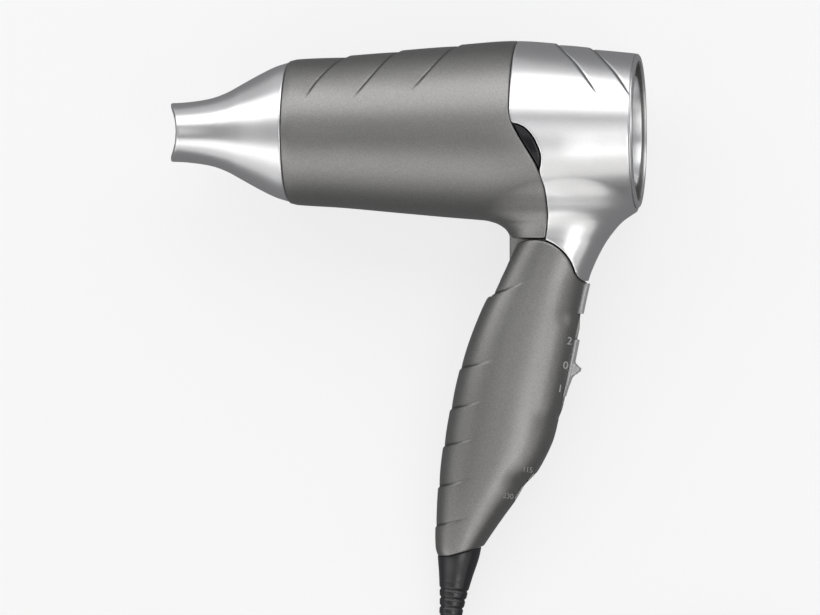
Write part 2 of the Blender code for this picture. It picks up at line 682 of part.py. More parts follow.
def ring_of_cord():
    """The outer shape of the coil: its turns lie in columns and layers a cord's width apart."""
    half_width = RING_COLUMNS * CORD_D / 2
    half_height = RING_LAYERS * CORD_D / 2
    middle_z = RING_LOW + half_height
    outline = superellipse(half_height, half_width, 5.0, 8)
    profile = [(x, RING_TURN_R + r) for x, r in outline]
    return turned(profile, 28, closed=True, origin=(*RING_MIDDLE, middle_z), axis=(0, 0, 1))


def cord_tie():
    """A band round the coil, where a clock hand at two would point."""
    half_width = RING_COLUMNS * CORD_D / 2 + 3 * GAP
    top = RING_LOW + RING_LAYERS * CORD_D + GAP
    band = block((RING_TURN_R - half_width - 1, -4, 0.3), (RING_TURN_R + half_width + 1, 4, top + 1))
    minus(band, block((RING_TURN_R - half_width, -5, RING_LOW - GAP),
                      (RING_TURN_R + half_width, 5, top)))
    band.data.transform(Matrix.Translation((*RING_MIDDLE, 0)) @ Matrix.Rotation(math.radians(35), 4, "Z"))
    return band


def plug_half(low, high):
    """One half of the plug block, with chamfered upright corners."""
    (cx, cy), (hx, hy), c = PLUG_MIDDLE, PLUG_HALF, 5.0
    corners = [(-hx + c, -hy), (hx - c, -hy), (hx, -hy + c), (hx, hy - c), (hx - c, hy), (-hx + c, hy),
               (-hx, hy - c), (-hx, -hy + c)]
    return prism([(cx + x, cy + y) for x, y in corners], low, high)


def button_block(row, half_x, half_y, low, high):
    x, y = PLUG_MIDDLE[0], PLUG_MIDDLE[1] + row
    return block((x - half_x, y - half_y, low), (x + half_x, y + half_y, high))


def plug_relief():
    """The ribbed sleeve that carries the cord into the plug."""
    y = PLUG_MIDDLE[1] - PLUG_HALF[1] - GAP
    profile = [(0, 6.8), (6, 6.4), (13, 5.2), (PLUG_RELIEF_LENGTH, 4.2)]
    return turned(profile, 16, origin=(PLUG_MIDDLE[0], y, PLUG_CORD_Z), axis=(0, -1, 0))


def strain_relief():
    """A tapered rubber sleeve, cut to the slant of the handle's foot, with a collar inside."""
    place = {"origin": (*RELIEF_TOP, 0), "axis": RELIEF_DOWN}
    foot = [(x, y - GAP) for x, y in HANDLE_BOTTOM]
    body = minus(turned(RELIEF_BODY, 24, **place), prism([(-60, -150)] + foot + [(0, -150)], -30, 30))
    return union(body, turned(RELIEF_COLLAR, 24, **place))


def build_barrel(at):
    b = at["barrel"]
    piece("front_housing", front_housing(), DARK, b)
    piece("rear_housing", rear_housing(), SILVER, b)
    piece("inlay_left", inlay(1), BLACK_GLOSS, b)
    piece("inlay_right", inlay(-1), BLACK_GLOSS, b)
    piece("intake_ring", intake_ring(), SILVER, b)
    piece("intake_grille", spoked_grille(30.4, 32.8, (12.0,), 20.6, 4.0, 6, 24), BLACK_PLASTIC, b)
    piece("lint_filter", spoked_grille(27.6, 29.0, (), 24.0, 2.0, 6, 24), STEEL, b)
    piece("outlet_grille", spoked_grille(*GRILLE_X, (15.0,), 27.6, 3.0, 6, 24),
          BLACK_PLASTIC, b)
    piece("mica_sleeve", tube(*MICA_X, MICA_R, MICA_R - 0.6, 32), MICA, b)
    piece("mica_board_upright", notched_board(True), MICA, b)
    piece("mica_board_level", notched_board(False), MICA, b)
    heater_coil("heater_coil_high", 0.0, WIRE, b)
    heater_coil("heater_coil_low", 0.5, WIRE, b)
    piece("thermostat", block((-76, 6, 0.7), (-64, 14, 5.5)), STEEL, b)
    piece("thermal_fuse", rod((-60, 9, 2.4), (-49, 9, 2.4), 1.6, 12), STEEL, b)
    piece("motor_mount", motor_mount(), BLACK_PLASTIC, b)
    piece("motor_can", rod((MOTOR_X[0], 0, 0), (MOTOR_X[1], 0, 0), MOTOR_R, 28), STEEL, b)
    piece("motor_end_cap", turned([(-21.5, 9.0), (-20.5, MOTOR_R - 0.6), (-18.3, MOTOR_R - 0.6)], 32),
          BLACK_PLASTIC, b)
    piece("rectifier_board", rod((-23.6, 0, 0), (-22.0, 0, 0), 11.0, 28), BOARD, b)
    for k in range(4):
        y = -6 + 4 * k
        piece(f"diode_{k + 1}", rod((-25.4, y, -3.2), (-25.4, y, 3.2), 1.3, 10), BLACK_PLASTIC, b)
    piece("hinge_pin", rod((*PIVOT, -PIN_HALF), (*PIVOT, PIN_HALF), PIN_R, 20), STEEL, b)
    for name, side in (("hinge_washer_left", 1), ("hinge_washer_right", -1)):
        ring = turned([(WASHER[0], WASHER_R), (WASHER[1], WASHER_R), (WASHER[1], PIN_R + GAP),
                       (WASHER[0], PIN_R + GAP)], 24, closed=True, origin=(*PIVOT, 0), axis=(0, 0, side))
        piece(name, ring, STEEL, b)
    piece("nozzle", nozzle(), SILVER, at["nozzle"])
    piece("fan", fan(), BLACK_PLASTIC, at["fan"])
    piece("motor_shaft", rod((MOTOR_X[1] + GAP, 0, 0), (FAN_X[1] - 3.6, 0, 0), 1.2, 12), STEEL, at["fan"])


def build_handle(at):
    h = at["handle"]
    piece("handle_left", minus(handle_half(1), bezel_seat()), DARK, h)
    piece("handle_right", minus(handle_half(-1), bezel_seat()), DARK, h)
    piece("switch_bezel", bezel(), GREY_PLASTIC, h)
    piece("switch_slider", slider(), GREY_PLASTIC, at["switch"])
    piece("switch_body", slanted_block(SLIDE_MID, SLIDE_ALONG, SLIDE_OUT, 13, 3.2, 6, shift_v=-8.6),
          BLACK_PLASTIC, h)
    piece("voltage_slider", volt_slider(), BLACK_GLOSS, at["selector"])
    piece("voltage_switch_body", slanted_block(VOLT_MID, VOLT_ALONG, VOLT_OUT, 6, 2.4, 4.5, shift_v=-7.2),
          BLACK_PLASTIC, h)
    for k, (x, y) in enumerate(SCREW_PLACES):
        piece(f"handle_screw_{k + 1}", screw((x, y, -11.2), (x, y, 9.2)), STEEL, h)
    piece("cord_clamp", cord_clamp(), BLACK_PLASTIC, h)
    for k, p in enumerate(CLAMP_SCREWS):
        piece(f"clamp_screw_{k + 1}", screw((p.x, p.y, 1.3), (p.x, p.y, -7), 1.1, 2.0, 1.2), STEEL, h)
    piece("strain_relief", strain_relief(), BLACK_RUBBER, h)


def build_cord(world, buttons):
    """The free cord on the floor, with its tie and plug."""
    lead = [p * MM for p in smooth_path(LEAD, 3)]
    tail = [p * MM for p in smooth_path(TAIL, 3)]
    cord_curve("cord_lead", lead, CORD_D / 2 * MM, BLACK_RUBBER, 2)
    cord_curve("cord_tail", tail, CORD_D / 2 * MM, BLACK_RUBBER, 2)
    piece("cord_coil", ring_of_cord(), BLACK_RUBBER, world)
    piece("cord_tie", cord_tie(), BLACK_PLASTIC, world)
    split = PLUG_HEIGHT / 2
    piece("plug_shell", plug_half(0.0, split - GAP / 2), BLACK_PLASTIC, world)
    cover = plug_half(split + GAP / 2, PLUG_HEIGHT)
    half_x, half_y = BUTTON_HALF
    for name, row, look in (("test_button", 3.0, BLACK_GLOSS), ("reset_button", -6.0, RED)):
        minus(cover, button_block(row, half_x, half_y, PLUG_HEIGHT - 3.2, PLUG_HEIGHT + 1))
        cap = button_block(row, half_x - GAP, half_y - GAP, PLUG_HEIGHT - 1.7, PLUG_HEIGHT + 0.8)
        piece(name, cap, look, buttons[name])
    piece("plug_cover", cover, BLACK_PLASTIC, world)
    piece("plug_relief", plug_relief(), BLACK_RUBBER, world)
    thick, length, tall = BLADE
    face = PLUG_MIDDLE[1] + PLUG_HALF[1] + GAP
    for name, x in (("plug_blade_left", -BLADE_SPACING / 2), ("plug_blade_right", BLADE_SPACING / 2)):
        x += PLUG_MIDDLE[0]
        blade = block((x - thick / 2, face, split - tall / 2), (x + thick / 2, face + length, split + tall / 2))
        piece(name, blade, BRASS, world)


def main():
    for old in list(bpy.data.objects):
        bpy.data.objects.remove(old)
    at = holders()
    build_barrel(at)
    build_handle(at)
    build_cord(at["floor"], at)


main()
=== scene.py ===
"""Looks for the folding travel hair dryer: fine surfaces, materials, light and camera.

Shapes are described in the dryer's own frame in millimetres: X runs along the barrel towards
the intake, Y is the dryer's up, Z points out of its left side. LAY turns that into the frame
of the CAD, in metres, where the dryer lies on its right side on the floor.
"""
import json
import math

import bmesh
import bpy
import numpy as np
from mathutils import Matrix, Vector


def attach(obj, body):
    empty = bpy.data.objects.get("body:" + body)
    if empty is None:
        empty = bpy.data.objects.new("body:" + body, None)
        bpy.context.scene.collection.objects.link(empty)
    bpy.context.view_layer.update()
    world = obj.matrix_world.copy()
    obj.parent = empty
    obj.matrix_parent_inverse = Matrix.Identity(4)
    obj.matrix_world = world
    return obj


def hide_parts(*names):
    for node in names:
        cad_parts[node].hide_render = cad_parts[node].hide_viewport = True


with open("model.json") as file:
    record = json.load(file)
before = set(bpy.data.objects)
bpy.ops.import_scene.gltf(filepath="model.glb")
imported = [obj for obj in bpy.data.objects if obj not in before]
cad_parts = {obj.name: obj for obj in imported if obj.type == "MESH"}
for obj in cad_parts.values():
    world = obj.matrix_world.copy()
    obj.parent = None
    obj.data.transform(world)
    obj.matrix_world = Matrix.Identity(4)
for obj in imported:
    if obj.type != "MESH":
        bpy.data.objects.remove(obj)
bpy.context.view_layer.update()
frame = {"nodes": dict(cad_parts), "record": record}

MM = 0.001
TIP = math.radians(8.45)
FRAME_SHIFT = (54.4, 83.0, 36.915)
METRES = Matrix.Scale(MM, 4)
LAY = METRES @ Matrix.Translation(FRAME_SHIFT) @ Matrix.Rotation(TIP, 4, "X")
FINE = 1.0
SETTLE_ROUNDS = 3                      # how often a mesh's points move on to the surface
SMOOTH_BELOW = math.radians(38)        # a turned piece's edges sharper than this show as edges
EDGE = 0.3                             # the usual rounding of a moulded edge, in mm
SQUARENESS = 2.4                       # power of the handle's and the neck's section: 2 is an oval

# ---------------- driving sizes, as in the CAD
FRONT_X, REAR_X, WALL, GAP = -101.7, 42.2, 1.8, 0.3
FRONT_BORE_R, FRONT_BORE_X = 28.0, -90
BARREL = [(FRONT_X - 6, 28.9), (FRONT_X, 29.3), (-98.5, 30.0), (-80, 31.2), (-55, 33.5),
          (-30, 35.7), (-9, 37.0), (12, 35.5), (30, 33.2), (41.4, 31.8), (REAR_X + 4, 31.4)]
RECESS_X, RECESS_R, FLANGE_R, FLANGE_THICK = 32.0, 28.3, 21.2, 1.8
COVE_DEPTH, COVE_LENGTH = 5.4, 8.5
RIM_X = 41.0                       # the intake's rim is a ring of its own from here to REAR_X
PARTING_TOP = [(-7.5, 42), (-7.5, 8), (-6.4, 3.2)]
WINDOW_FRONT = [(-3.1, -3.1), (0.1, -8.4), (2.8, -13.2)]
WINDOW_REAR = [(-3.3, 2.0), (-0.4, 0.4), (2.4, -2.8), (4.3, -6.6), (5.4, -10.4), (5.2, -13.8)]
PARTING_LOW = [(4.6, -17.6), (6.2, -24), (6.7, -32), (6.2, -39), (5.1, -45.5)]
PIVOT = (0.0, -61.4)
EAR_R, SOCKET_R, NECK_FLAT_Y = 17.0, 17.5, -43.9
TONGUE_HALF, SLOT_HALF, TONGUE_R, PIN_R, PIN_HALF = 8.0, 9.2, 10.3, 3.0, 13.0
FOLD_LIMIT = math.radians(72)
NECK_FRONT = [(-20, -26), (-30, -24), (-34, -21.5), (-36.2, -18.4), (-37.9, -15.1), (-41.1, -11.8),
              (-44.4, -10.6), (-48.5, -10.4), (-63, -10.4)]
NECK_REAR = [(-20, 41.4), (-31.4, 41.4), (-37.9, 34.2), (-44.5, 28.9), (-51, 25.2), (-57.5, 22.3),
             (-63, 20.5)]
NECK_HALF = [(-20, 27.5), (-26, 25.4), (-30, 23.2), (-34, 20.6), (-38, 18.8), (-42, 17.7),
             (-46, 17.0), (-63, 16.6)]
HANDLE_FRONT = [(-44, -7.9), (-61.4, -16.6), (-74, -23.0), (-93.5, -30.4), (-113, -35.4),
                (-136, -39.5), (-158, -41.4), (-170, -41.5), (-175, -40.0)]
HANDLE_REAR = [(-44, 29.2), (-51, 25.2), (-57.5, 22.3), (-61.4, 20.9), (-70, 18.9), (-89.4, 14.9),
               (-113, 9.8), (-126.2, 6.7), (-136.1, 2.2), (-145.9, -4.8), (-155.7, -12.3),
               (-165.6, -19.3), (-175, -25.5)]
HANDLE_HALF = [(-44, 17.1), (-61.4, 16.6), (-85, 17.3), (-105, 17.6), (-125, 17.0), (-145, 15.4),
               (-160, 13.4), (-170, 11.8), (-175, 10.8)]
HANDLE_WALL = 2.2
HANDLE_BOTTOM = [(-46, -172.6), (-40, -173.5), (-35, -173.4), (-28, -171.6), (-14, -167.0)]
SLIDE_MID = (14.35, -96.9)
SLIDE_ALONG = Vector((0.195, 0.981)).normalized()
SLIDE_OUT = Vector((0.981, -0.195)).normalized()
SLIDE = (SLIDE_MID, SLIDE_ALONG, SLIDE_OUT)
SLIDE_LENGTH, SLIDE_TRAVEL, SLIDE_HALF_WIDTH = 24.0, 9.0, 5.0
VOLT_MID = (-5.2, -145.3)
VOLT_ALONG = Vector((0.585, 0.811)).normalized()
VOLT_OUT = Vector((0.811, -0.585)).normalized()
VOLT = (VOLT_MID, VOLT_ALONG, VOLT_OUT)
VOLT_REST = 2.5                    # how far the slider rests from its middle, at 115
NOZZLE_HEIGHT = [(FRONT_X, 28.8), (-107.9, 26.8), (-114.5, 23.6), (-121.2, 19.9), (-127.8, 16.3),
                 (-134.5, 13.9), (-144.5, 12.4), (-153, 12.0)]
NOZZLE_WIDTH = [(FRONT_X, 28.8), (-110, 26.4), (-120, 23.4), (-130, 21.3), (-140, 20.3), (-153, 20)]
NOZZLE_WALL, NOZZLE_SKIRT_R, NOZZLE_SKIRT_BORE_R, NOZZLE_SKIRT_END = 1.6, 27.6, 26.1, -91.0
MOUTH_X, MOUTH_RADIUS = -151.0, 42.5
SCREW_PLACES = [(-10.5, -88.0), (-20.5, -122.0), (-22.5, -144.0)]
SCREW_BOSS_R = 3.4
RELIEF_TOP = (-32.0, -171.0)
RELIEF_DOWN = Vector((-0.13, -0.9915)).normalized()
RELIEF_BODY = [(-6.0, 9.1), (2.2, 8.6), (11, 6.9), (22, 5.2), (33.5, 4.2)]
CORD_D = 6.8
RING_MIDDLE, RING_TURN_R, RING_LOW = (53.0, -196.0), 38.0, 1.6
TIE_ANGLE = math.radians(35)
LEAD = [(17.9, -120.1, 7.4), (16.6, -130, 5.95), (15.2, -140, 4.6), (13.3, -150, 3.8),
        (10.8, -160, 3.7), (7.8, -169.9, 3.7)]
TAIL = [(79.1, -241.3, 9.6), (92, -240.4, 6.4), (104, -235.6, 4.4), (113.6, -227.6, 4.7),
        (119.7, -217.2, 6.0), (121.8, -206.7, 7.4)]
PLUG_MIDDLE, PLUG_HALF, PLUG_HEIGHT, PLUG_CORD_Z = (122.0, -162.0), (20.0, 24.0), 26.0, 7.5
PLUG_RELIEF_LENGTH = 19.5
PLUG_ROWS = (3.0, -6.0)            # where the test and the reset button are, from the middle
BLADE_SPACING, BLADE = 12.7, (1.5, 17.5, 6.3)     # thickness, length, height


# ---------------- curves and paths
def along(points, t):
    """Smooth value at t through (t, value) points, which run in order of falling or rising t."""
    pts = points if points[-1][0] > points[0][0] else points[::-1]
    t = min(max(t, pts[0][0]), pts[-1][0])
    i = max(k for k in range(len(pts) - 1) if pts[k][0] <= t)
    (t0, v0), (t1, v1) = pts[i], pts[i + 1]
    before = pts[i - 1] if i else pts[i]
    after = pts[i + 2] if i + 2 < len(pts) else pts[i + 1]
    s0 = (v1 - before[1]) / (t1 - before[0])
    s1 = (after[1] - v0) / (after[0] - t0)
    h = t1 - t0
    u = (t - t0) / h
    return (v0 * (1 + 2 * u) * (1 - u) ** 2 + v1 * u * u * (3 - 2 * u)
            + h * (s0 * u * (1 - u) ** 2 - s1 * u * u * (1 - u)))


def table(points):
    """The same curve as a function of a whole array."""
    lo, hi = sorted((points[0][0], points[-1][0]))
    at = np.linspace(lo, hi, 600)
    values = np.array([along(points, t) for t in at])
    return lambda t: np.interp(t, at, values)


def smooth_path(points, steps):
    """Points of a Catmull-Rom curve through the given points."""
    pts = [Vector(p) for p in points]
    ends = [2 * pts[0] - pts[1]] + pts + [2 * pts[-1] - pts[-2]]
    path = []
    for a, b, c, d in zip(ends, ends[1:], ends[2:], ends[3:]):
        for k in range(steps):
            u = k / steps
            path.append(0.5 * (2 * b + (c - a) * u + (2 * a - 5 * b + 4 * c - d) * u * u
                               + (3 * b - a - 3 * c + d) * u ** 3))
    return path + [pts[-1]]


def arc(centre, radius, start, end, steps):
    """Points on a circle from one angle to another, in degrees."""
    angles = [math.radians(start + (end - start) * k / steps) for k in range(steps + 1)]
    return [(centre[0] + radius * math.cos(a), centre[1] + radius * math.sin(a)) for a in angles]


# ---------------- meshes
def link(name, data):
    obj = bpy.data.objects.new(name, data)
    bpy.context.scene.collection.objects.link(obj)
    return obj


def mesh_from(name, verts, faces, matrix=LAY):
    mesh = bpy.data.meshes.new(name)
    mesh.from_pydata([tuple(v) for v in verts], [], faces)
    mesh.transform(matrix)
    bm = bmesh.new()
    bm.from_mesh(mesh)
    bmesh.ops.recalc_face_normals(bm, faces=bm.faces)
    bm.to_mesh(mesh)
    bm.free()
    mesh.shade_smooth()
    mesh.set_sharp_from_angle(angle=SMOOTH_BELOW)
    return link(name, mesh)


def circle(radius, count):
    angles = [2 * math.pi * i / count for i in range(count)]
    return [(radius * math.cos(a), radius * math.sin(a)) for a in angles]


def tube_faces(first, rows, count, closed):
    """Quads between rows of points round a tube, whose points are numbered from first."""
    faces = []
    for k in range(rows if closed else rows - 1):
        row, after = first + k * count, first + (k + 1) % rows * count
        for i in range(count):
            j = (i + 1) % count
            faces.append((row + i, row + j, after + j, after + i))
    return faces


def turned(name, profile, count, origin=(0, 0, 0), axis=(1, 0, 0), matrix=LAY):
    """A solid turned about an axis from a closed outline of (distance along, radius) points."""
    turn = Vector((1, 0, 0)).rotation_difference(Vector(axis)).to_matrix()
    verts = [Vector(origin) + turn @ Vector((x, *spot)) for x, r in profile
             for spot in circle(r, count)]
    return mesh_from(name, verts, tube_faces(0, len(profile), count, True), matrix)


def rounded(points, radius, steps=4):
    """A closed (x, r) outline with each corner rounded."""
    out = []
    for k, point in enumerate(points):
        q = Vector(point)
        a, b = Vector(points[k - 1]) - q, Vector(points[(k + 1) % len(points)]) - q
        cut = min(radius, a.length * 0.45, b.length * 0.45)
        start, end = q + a.normalized() * cut, q + b.normalized() * cut
        for m in range(steps + 1):
            u = m / steps
            out.append(tuple(start * (1 - u) ** 2 + q * 2 * u * (1 - u) + end * u * u))
    return out


# ---------------- fields: negative inside, in mm
def smin(a, b, k):
    h = np.clip(0.5 + 0.5 * (b - a) / k, 0, 1)
    return b + (a - b) * h - k * h * (1 - h)


def smax(a, b, k):
    return -smin(-a, -b, k)


def smaxes(k, *fields):
    total = fields[0]
    for f in fields[1:]:
        total = smax(total, f, k)
    return total


def step(t):
    t = np.clip(t, 0, 1)
    return t * t * (3 - 2 * t)


def outline(points):
    """Signed distance to a closed outline in XY, as a function of arrays."""
    pts = np.array([tuple(p)[:2] for p in points], float)

    def distance(x, y):
        x, y = np.broadcast_arrays(x, y)
        best = np.full(x.shape, 1e9)
        inside = np.zeros(x.shape, bool)
        for (ax, ay), (bx, by) in zip(pts, np.roll(pts, -1, axis=0)):
            ex, ey = bx - ax, by - ay
            size = ex * ex + ey * ey
            if size < 1e-12:
                continue
            t = np.clip(((x - ax) * ex + (y - ay) * ey) / size, 0, 1)
            best = np.minimum(best, (x - ax - t * ex) ** 2 + (y - ay - t * ey) ** 2)
            if ay != by:
                cross = ((ay > y) != (by > y)) & (x < ax + (y - ay) * ex / ey)
                inside ^= cross
        return np.where(inside, -1, 1) * np.sqrt(best)
    return distance


def oval(u, v, a, b, power):
    """Near distance to a superellipse of half sizes a and b."""
    p, q = np.abs(u) / a, np.abs(v) / b
    size = np.maximum((p ** power + q ** power) ** (1 / power), 1e-6)
    slope = np.hypot((p / size) ** (power - 1) / a, (q / size) ** (power - 1) / b)
    return (size - 1) / slope


def local(x, y, middle, u, v):
    """How far a point is from a middle, along u and along v."""
    dx, dy = x - middle[0], y - middle[1]
    return dx * u[0] + dy * u[1], dx * v[0] + dy * v[1]


def slab(x, y, z, middle, u, v, half_u, half_v, half_z, shift_v=0.0, k=0.4):
    """A block with its sides along u and v in XY."""
    dx, dy = x - middle[0] - v[0] * shift_v, y - middle[1] - v[1] * shift_v
    return smaxes(k, np.abs(dx * u[0] + dy * u[1]) - half_u, np.abs(dx * v[0] + dy * v[1]) - half_v,
                  np.abs(z) - half_z)


def mesh_field(name, field, low, high, pitch, matrix=LAY, crease=None):
    """The surface where a field is zero, as one dense mesh with its points on the surface.

    Each cell of a grid that the surface crosses gets one point, and each crossed edge one quad.
    """
    pitch *= FINE
    axes = [np.arange(lo - 1.5 * pitch, hi + 2.5 * pitch, pitch) for lo, hi in zip(low, high)]
    shape = tuple(len(a) for a in axes)
    values = np.broadcast_to(field(axes[0][:, None, None], axes[1][None, :, None],
                                   axes[2][None, None, :]), shape)
    inside = values < 0
    cells_shape = tuple(n - 1 for n in shape)
    corners, points, turn = [], [], []
    for axis in range(3):
        edge = np.argwhere(np.diff(inside, axis=axis))
        b, c = (axis + 1) % 3, (axis + 2) % 3
        beside = edge[:, (b, c)]
        edge = edge[((beside > 0) & (beside < (shape[b] - 1, shape[c] - 1))).all(axis=1)]
        after = edge.copy()
        after[:, axis] += 1
        v0, v1 = values[tuple(edge.T)], values[tuple(after.T)]
        t = v0 / (v0 - v1)
        place = np.stack([axes[m][edge[:, m]] for m in range(3)], axis=1)
        place[:, axis] += t * pitch
        ring = []
        for db, dc in ((-1, -1), (0, -1), (0, 0), (-1, 0)):
            cell = edge.copy()
            cell[:, b] += db
            cell[:, c] += dc
            ring.append(np.ravel_multi_index(tuple(cell.T), cells_shape))
        corners.append(np.stack(ring, axis=1))
        points.append(place)
        turn.append(v0 < 0)
    corners, points, turn = np.concatenate(corners), np.concatenate(points), np.concatenate(turn)
    used, index = np.unique(corners.ravel(), return_inverse=True)
    index = index.reshape(corners.shape)
    count = np.bincount(index.ravel(), minlength=len(used))
    verts = np.stack([np.bincount(index.ravel(), np.repeat(points[:, m], 4), len(used))
                      for m in range(3)], axis=1) / count[:, None]
    e = 0.02                           # step for the slope, in mm
    for _ in range(SETTLE_ROUNDS):
        x, y, z = verts.T
        f = field(x, y, z)
        g = np.stack([field(x + e, y, z) - f, field(x, y + e, z) - f, field(x, y, z + e) - f],
                     axis=1) / e
        size = np.maximum((g * g).sum(axis=1), 0.15)
        move = g * (f / size)[:, None]
        far = np.linalg.norm(move, axis=1)
        verts = verts - move * np.minimum(1, 0.6 * pitch / np.maximum(far, 1e-9))[:, None]
    faces = np.where(turn[:, None], index, index[:, ::-1])
    mesh = bpy.data.meshes.new(name)
    mesh.vertices.add(len(verts))
    mesh.vertices.foreach_set("co", verts.astype(np.float32).ravel())
    mesh.loops.add(faces.size)
    mesh.loops.foreach_set("vertex_index", faces.astype(np.int32).ravel())
    mesh.polygons.add(len(faces))
    mesh.polygons.foreach_set("loop_start", np.arange(0, faces.size, 4, dtype=np.int32))
    mesh.update(calc_edges=True)
    mesh.validate()
    # painted shade: a darkening mask for the feet of steps, kept on the points
    if crease:
        shade = crease(verts[:, 0], verts[:, 1]).astype(np.float32)
        mesh.attributes.new("crease", "FLOAT", "POINT").data.foreach_set("value", shade)
    mesh.transform(matrix)
    mesh.shade_smooth()
    return link(name, mesh)


# ---------------- shells
barrel_r = table(BARREL)
neck_front, neck_rear, neck_half = table(NECK_FRONT), table(NECK_REAR), table(NECK_HALF)
handle_front, handle_rear, handle_half = table(HANDLE_FRONT), table(HANDLE_REAR), table(HANDLE_HALF)
nozzle_height, nozzle_width = table(NOZZLE_HEIGHT), table(NOZZLE_WIDTH)

# Steps in the barrel's top: where each crosses the side, as (height, x), then which way it drops,
# and by how much
RIDGES = [([(37, -75.8), (31.6, -76.7), (27.3, -81.5), (20.2, -87.5), (12, -92.3)], -1, 0.75),
          ([(39, -54.4), (33.8, -55.1), (30.3, -58.7), (21.2, -65.6), (12, -72.5)], -1, 0.65),
          ([(40, -30.2), (35.4, -31.0), (32.6, -34.4), (24.9, -40.6), (15, -48.4)], -1, 0.65),
          ([(40, 8.0), (35.4, 8.5), (34, 10.1), (26.3, 18.6), (12, 29.6)], 1, 0.55),
          ([(38, 21.2), (34.3, 21.9), (31.6, 25.4), (22.6, 34.6), (11, 42.8)], 1, 0.6)]
STEP_WIDTH = 0.6                   # of a ridge's step, and of a step on the handle
RIDGE_FADE, RIDGE_END = 10.0, 9.0  # how far a ridge sinks away beside it, and along it at its end
RIDGE_GROOVE = (0.25, 0.35, 0.45)  # depth, place beside the step, and width
RIDGE_TABLES = [(table(points), way, height, points[-1][0]) for points, way, height in RIDGES]


def ridge_drop(x, y):
    """How far the barrel's top sinks beside each step."""
    depth, beside, width = RIDGE_GROOVE
    total = 0.0
    for place, way, height, end in RIDGE_TABLES:
        away = (x - place(y)) * way
        drop = height * step(away / STEP_WIDTH + 0.5) * np.exp(-np.maximum(away, 0) / RIDGE_FADE)
        groove = depth * np.exp(-((away - beside) / width) ** 2)
        total = total + step((y - end) / RIDGE_END) * (drop + groove)
    return total


def ridge_crease(x, y):
    """How much painted shade darkens the paint in the foot of each step, from 0 to 1."""
    return sum(step((y - end) / 7.0) * np.exp(-(((x - place(y)) * way - 0.2) / 0.5) ** 2)
               for place, way, _, end in RIDGE_TABLES)


def barrel_out(x, y, z):
    return np.hypot(y, z) - barrel_r(x) + ridge_drop(x, y)


def neck_side(x, y, z, inset=0.0):
    front, rear = neck_front(y) + inset, neck_rear(y) - inset
    return oval(x - (front + rear) / 2, z, (rear - front) / 2, neck_half(y) - inset, SQUARENESS)


def neck_out(x, y, z):
    """The neck, which fades out gently where it enters the barrel."""
    rise, ease = y + 20, 7.0
    fade = np.where(rise > ease, rise, np.maximum(rise + ease, 0) ** 2 / (4 * ease))
    return neck_side(x, y, z) + fade


def shell_out(x, y, z):
    return smin(barrel_out(x, y, z), neck_out(x, y, z), 4.0)


def cove_r(x, gap=0.0):
    """Radius of the recess behind the intake's rim, which narrows towards its floor."""
    return RECESS_R + gap - COVE_DEPTH * (1 - step((x - RECESS_X) / COVE_LENGTH)) ** 1.5


def cavity(x, y, z):
    """The room inside the barrel, the intake's recess and the passage to the neck."""
    r = np.hypot(y, z)
    main = smax(r - (barrel_r(x) - WALL), x - (RECESS_X - FLANGE_THICK), 0.4)
    main = np.where(x < FRONT_BORE_X, np.minimum(main, r - FRONT_BORE_R), main)
    main = smax(main, np.where(x < FRONT_BORE_X, r - FRONT_BORE_R, -1e3), EDGE)
    recess = smax(r - cove_r(x, GAP), RECESS_X - x, 1.2)
    hole = smax(r - FLANGE_R, RECESS_X - 6 - x, EDGE)
    passage = smaxes(0.5, neck_side(x, y, z, HANDLE_WALL), y, -41.5 - y, x - 26)
    return np.minimum(np.minimum(main, recess), np.minimum(hole, passage))


def parting(window):
    """The line where the housings part, by way of one side of the inlay's window."""
    return [PARTING_TOP[0]] + smooth_path(PARTING_TOP[1:] + window + PARTING_LOW, 6)


def rear_foot(radius, drop):
    """The curve from a circle round the hinge out to the handle's rear edge."""
    return smooth_path([*arc(PIVOT, radius, 12, 12, 1)[:1], (18.4, -60.1 - drop),
                        (19.8, -61.2 - drop), (21.6, -61.5 - drop)], 8)


def window_points():
    top, low = PARTING_TOP[-1][1], PARTING_LOW[0][1]
    rear = [p for p in parting(WINDOW_REAR) if low - 0.1 < p[1] < top + 0.1]
    front = [p for p in parting(WINDOW_FRONT) if low + 0.1 < p[1] < top - 0.1]
    return rear + front[::-1]


front_edge = [p for p in parting(WINDOW_FRONT) if p[1] > NECK_FLAT_Y]
front_side = outline([(-140, 60), (-7.5, 60)] + front_edge
                     + [(5.2, NECK_FLAT_Y), (-140, NECK_FLAT_Y)])
rear_edge = [p for p in parting(WINDOW_REAR) if p[1] > PIVOT[1] + SOCKET_R * 0.96]
rear_hinge = arc(PIVOT, SOCKET_R, 72, 12, 24) + rear_foot(SOCKET_R, 0.0)
rear_side = outline([(-7.5, 60)] + rear_edge + rear_hinge + [(80, -61.5), (80, 60)])
tongue_side = outline([(5.0, -38.5), (-TONGUE_R, -38.5)] + arc(PIVOT, TONGUE_R, 180, 345, 40)
                      + [(9.4, -55), (5.0, -47.5)])
rear_slot = outline([(-14, -36), (8, -36), (13, -56), (-14, -56)])
window = outline(window_points())


def front_field(x, y, z):
    shell = smaxes(0.35, shell_out(x, y, z), front_side(x, y) + GAP / 2, FRONT_X - x)
    shell = smax(shell, -cavity(x, y, z), EDGE)
    tongue = smaxes(0.5, tongue_side(x, y), np.abs(z) - TONGUE_HALF,
                    PIN_R + GAP - np.hypot(x - PIVOT[0], y - PIVOT[1]))
    return np.minimum(shell, tongue)


def rear_field(x, y, z):
    body = smaxes(0.35, shell_out(x, y, z), rear_side(x, y) + GAP / 2)
    body = smax(body, x - RIM_X, EDGE)
    body = smax(body, -cavity(x, y, z), 0.6)
    return smax(body, -smax(rear_slot(x, y), np.abs(z) - SLOT_HALF, EDGE), EDGE)


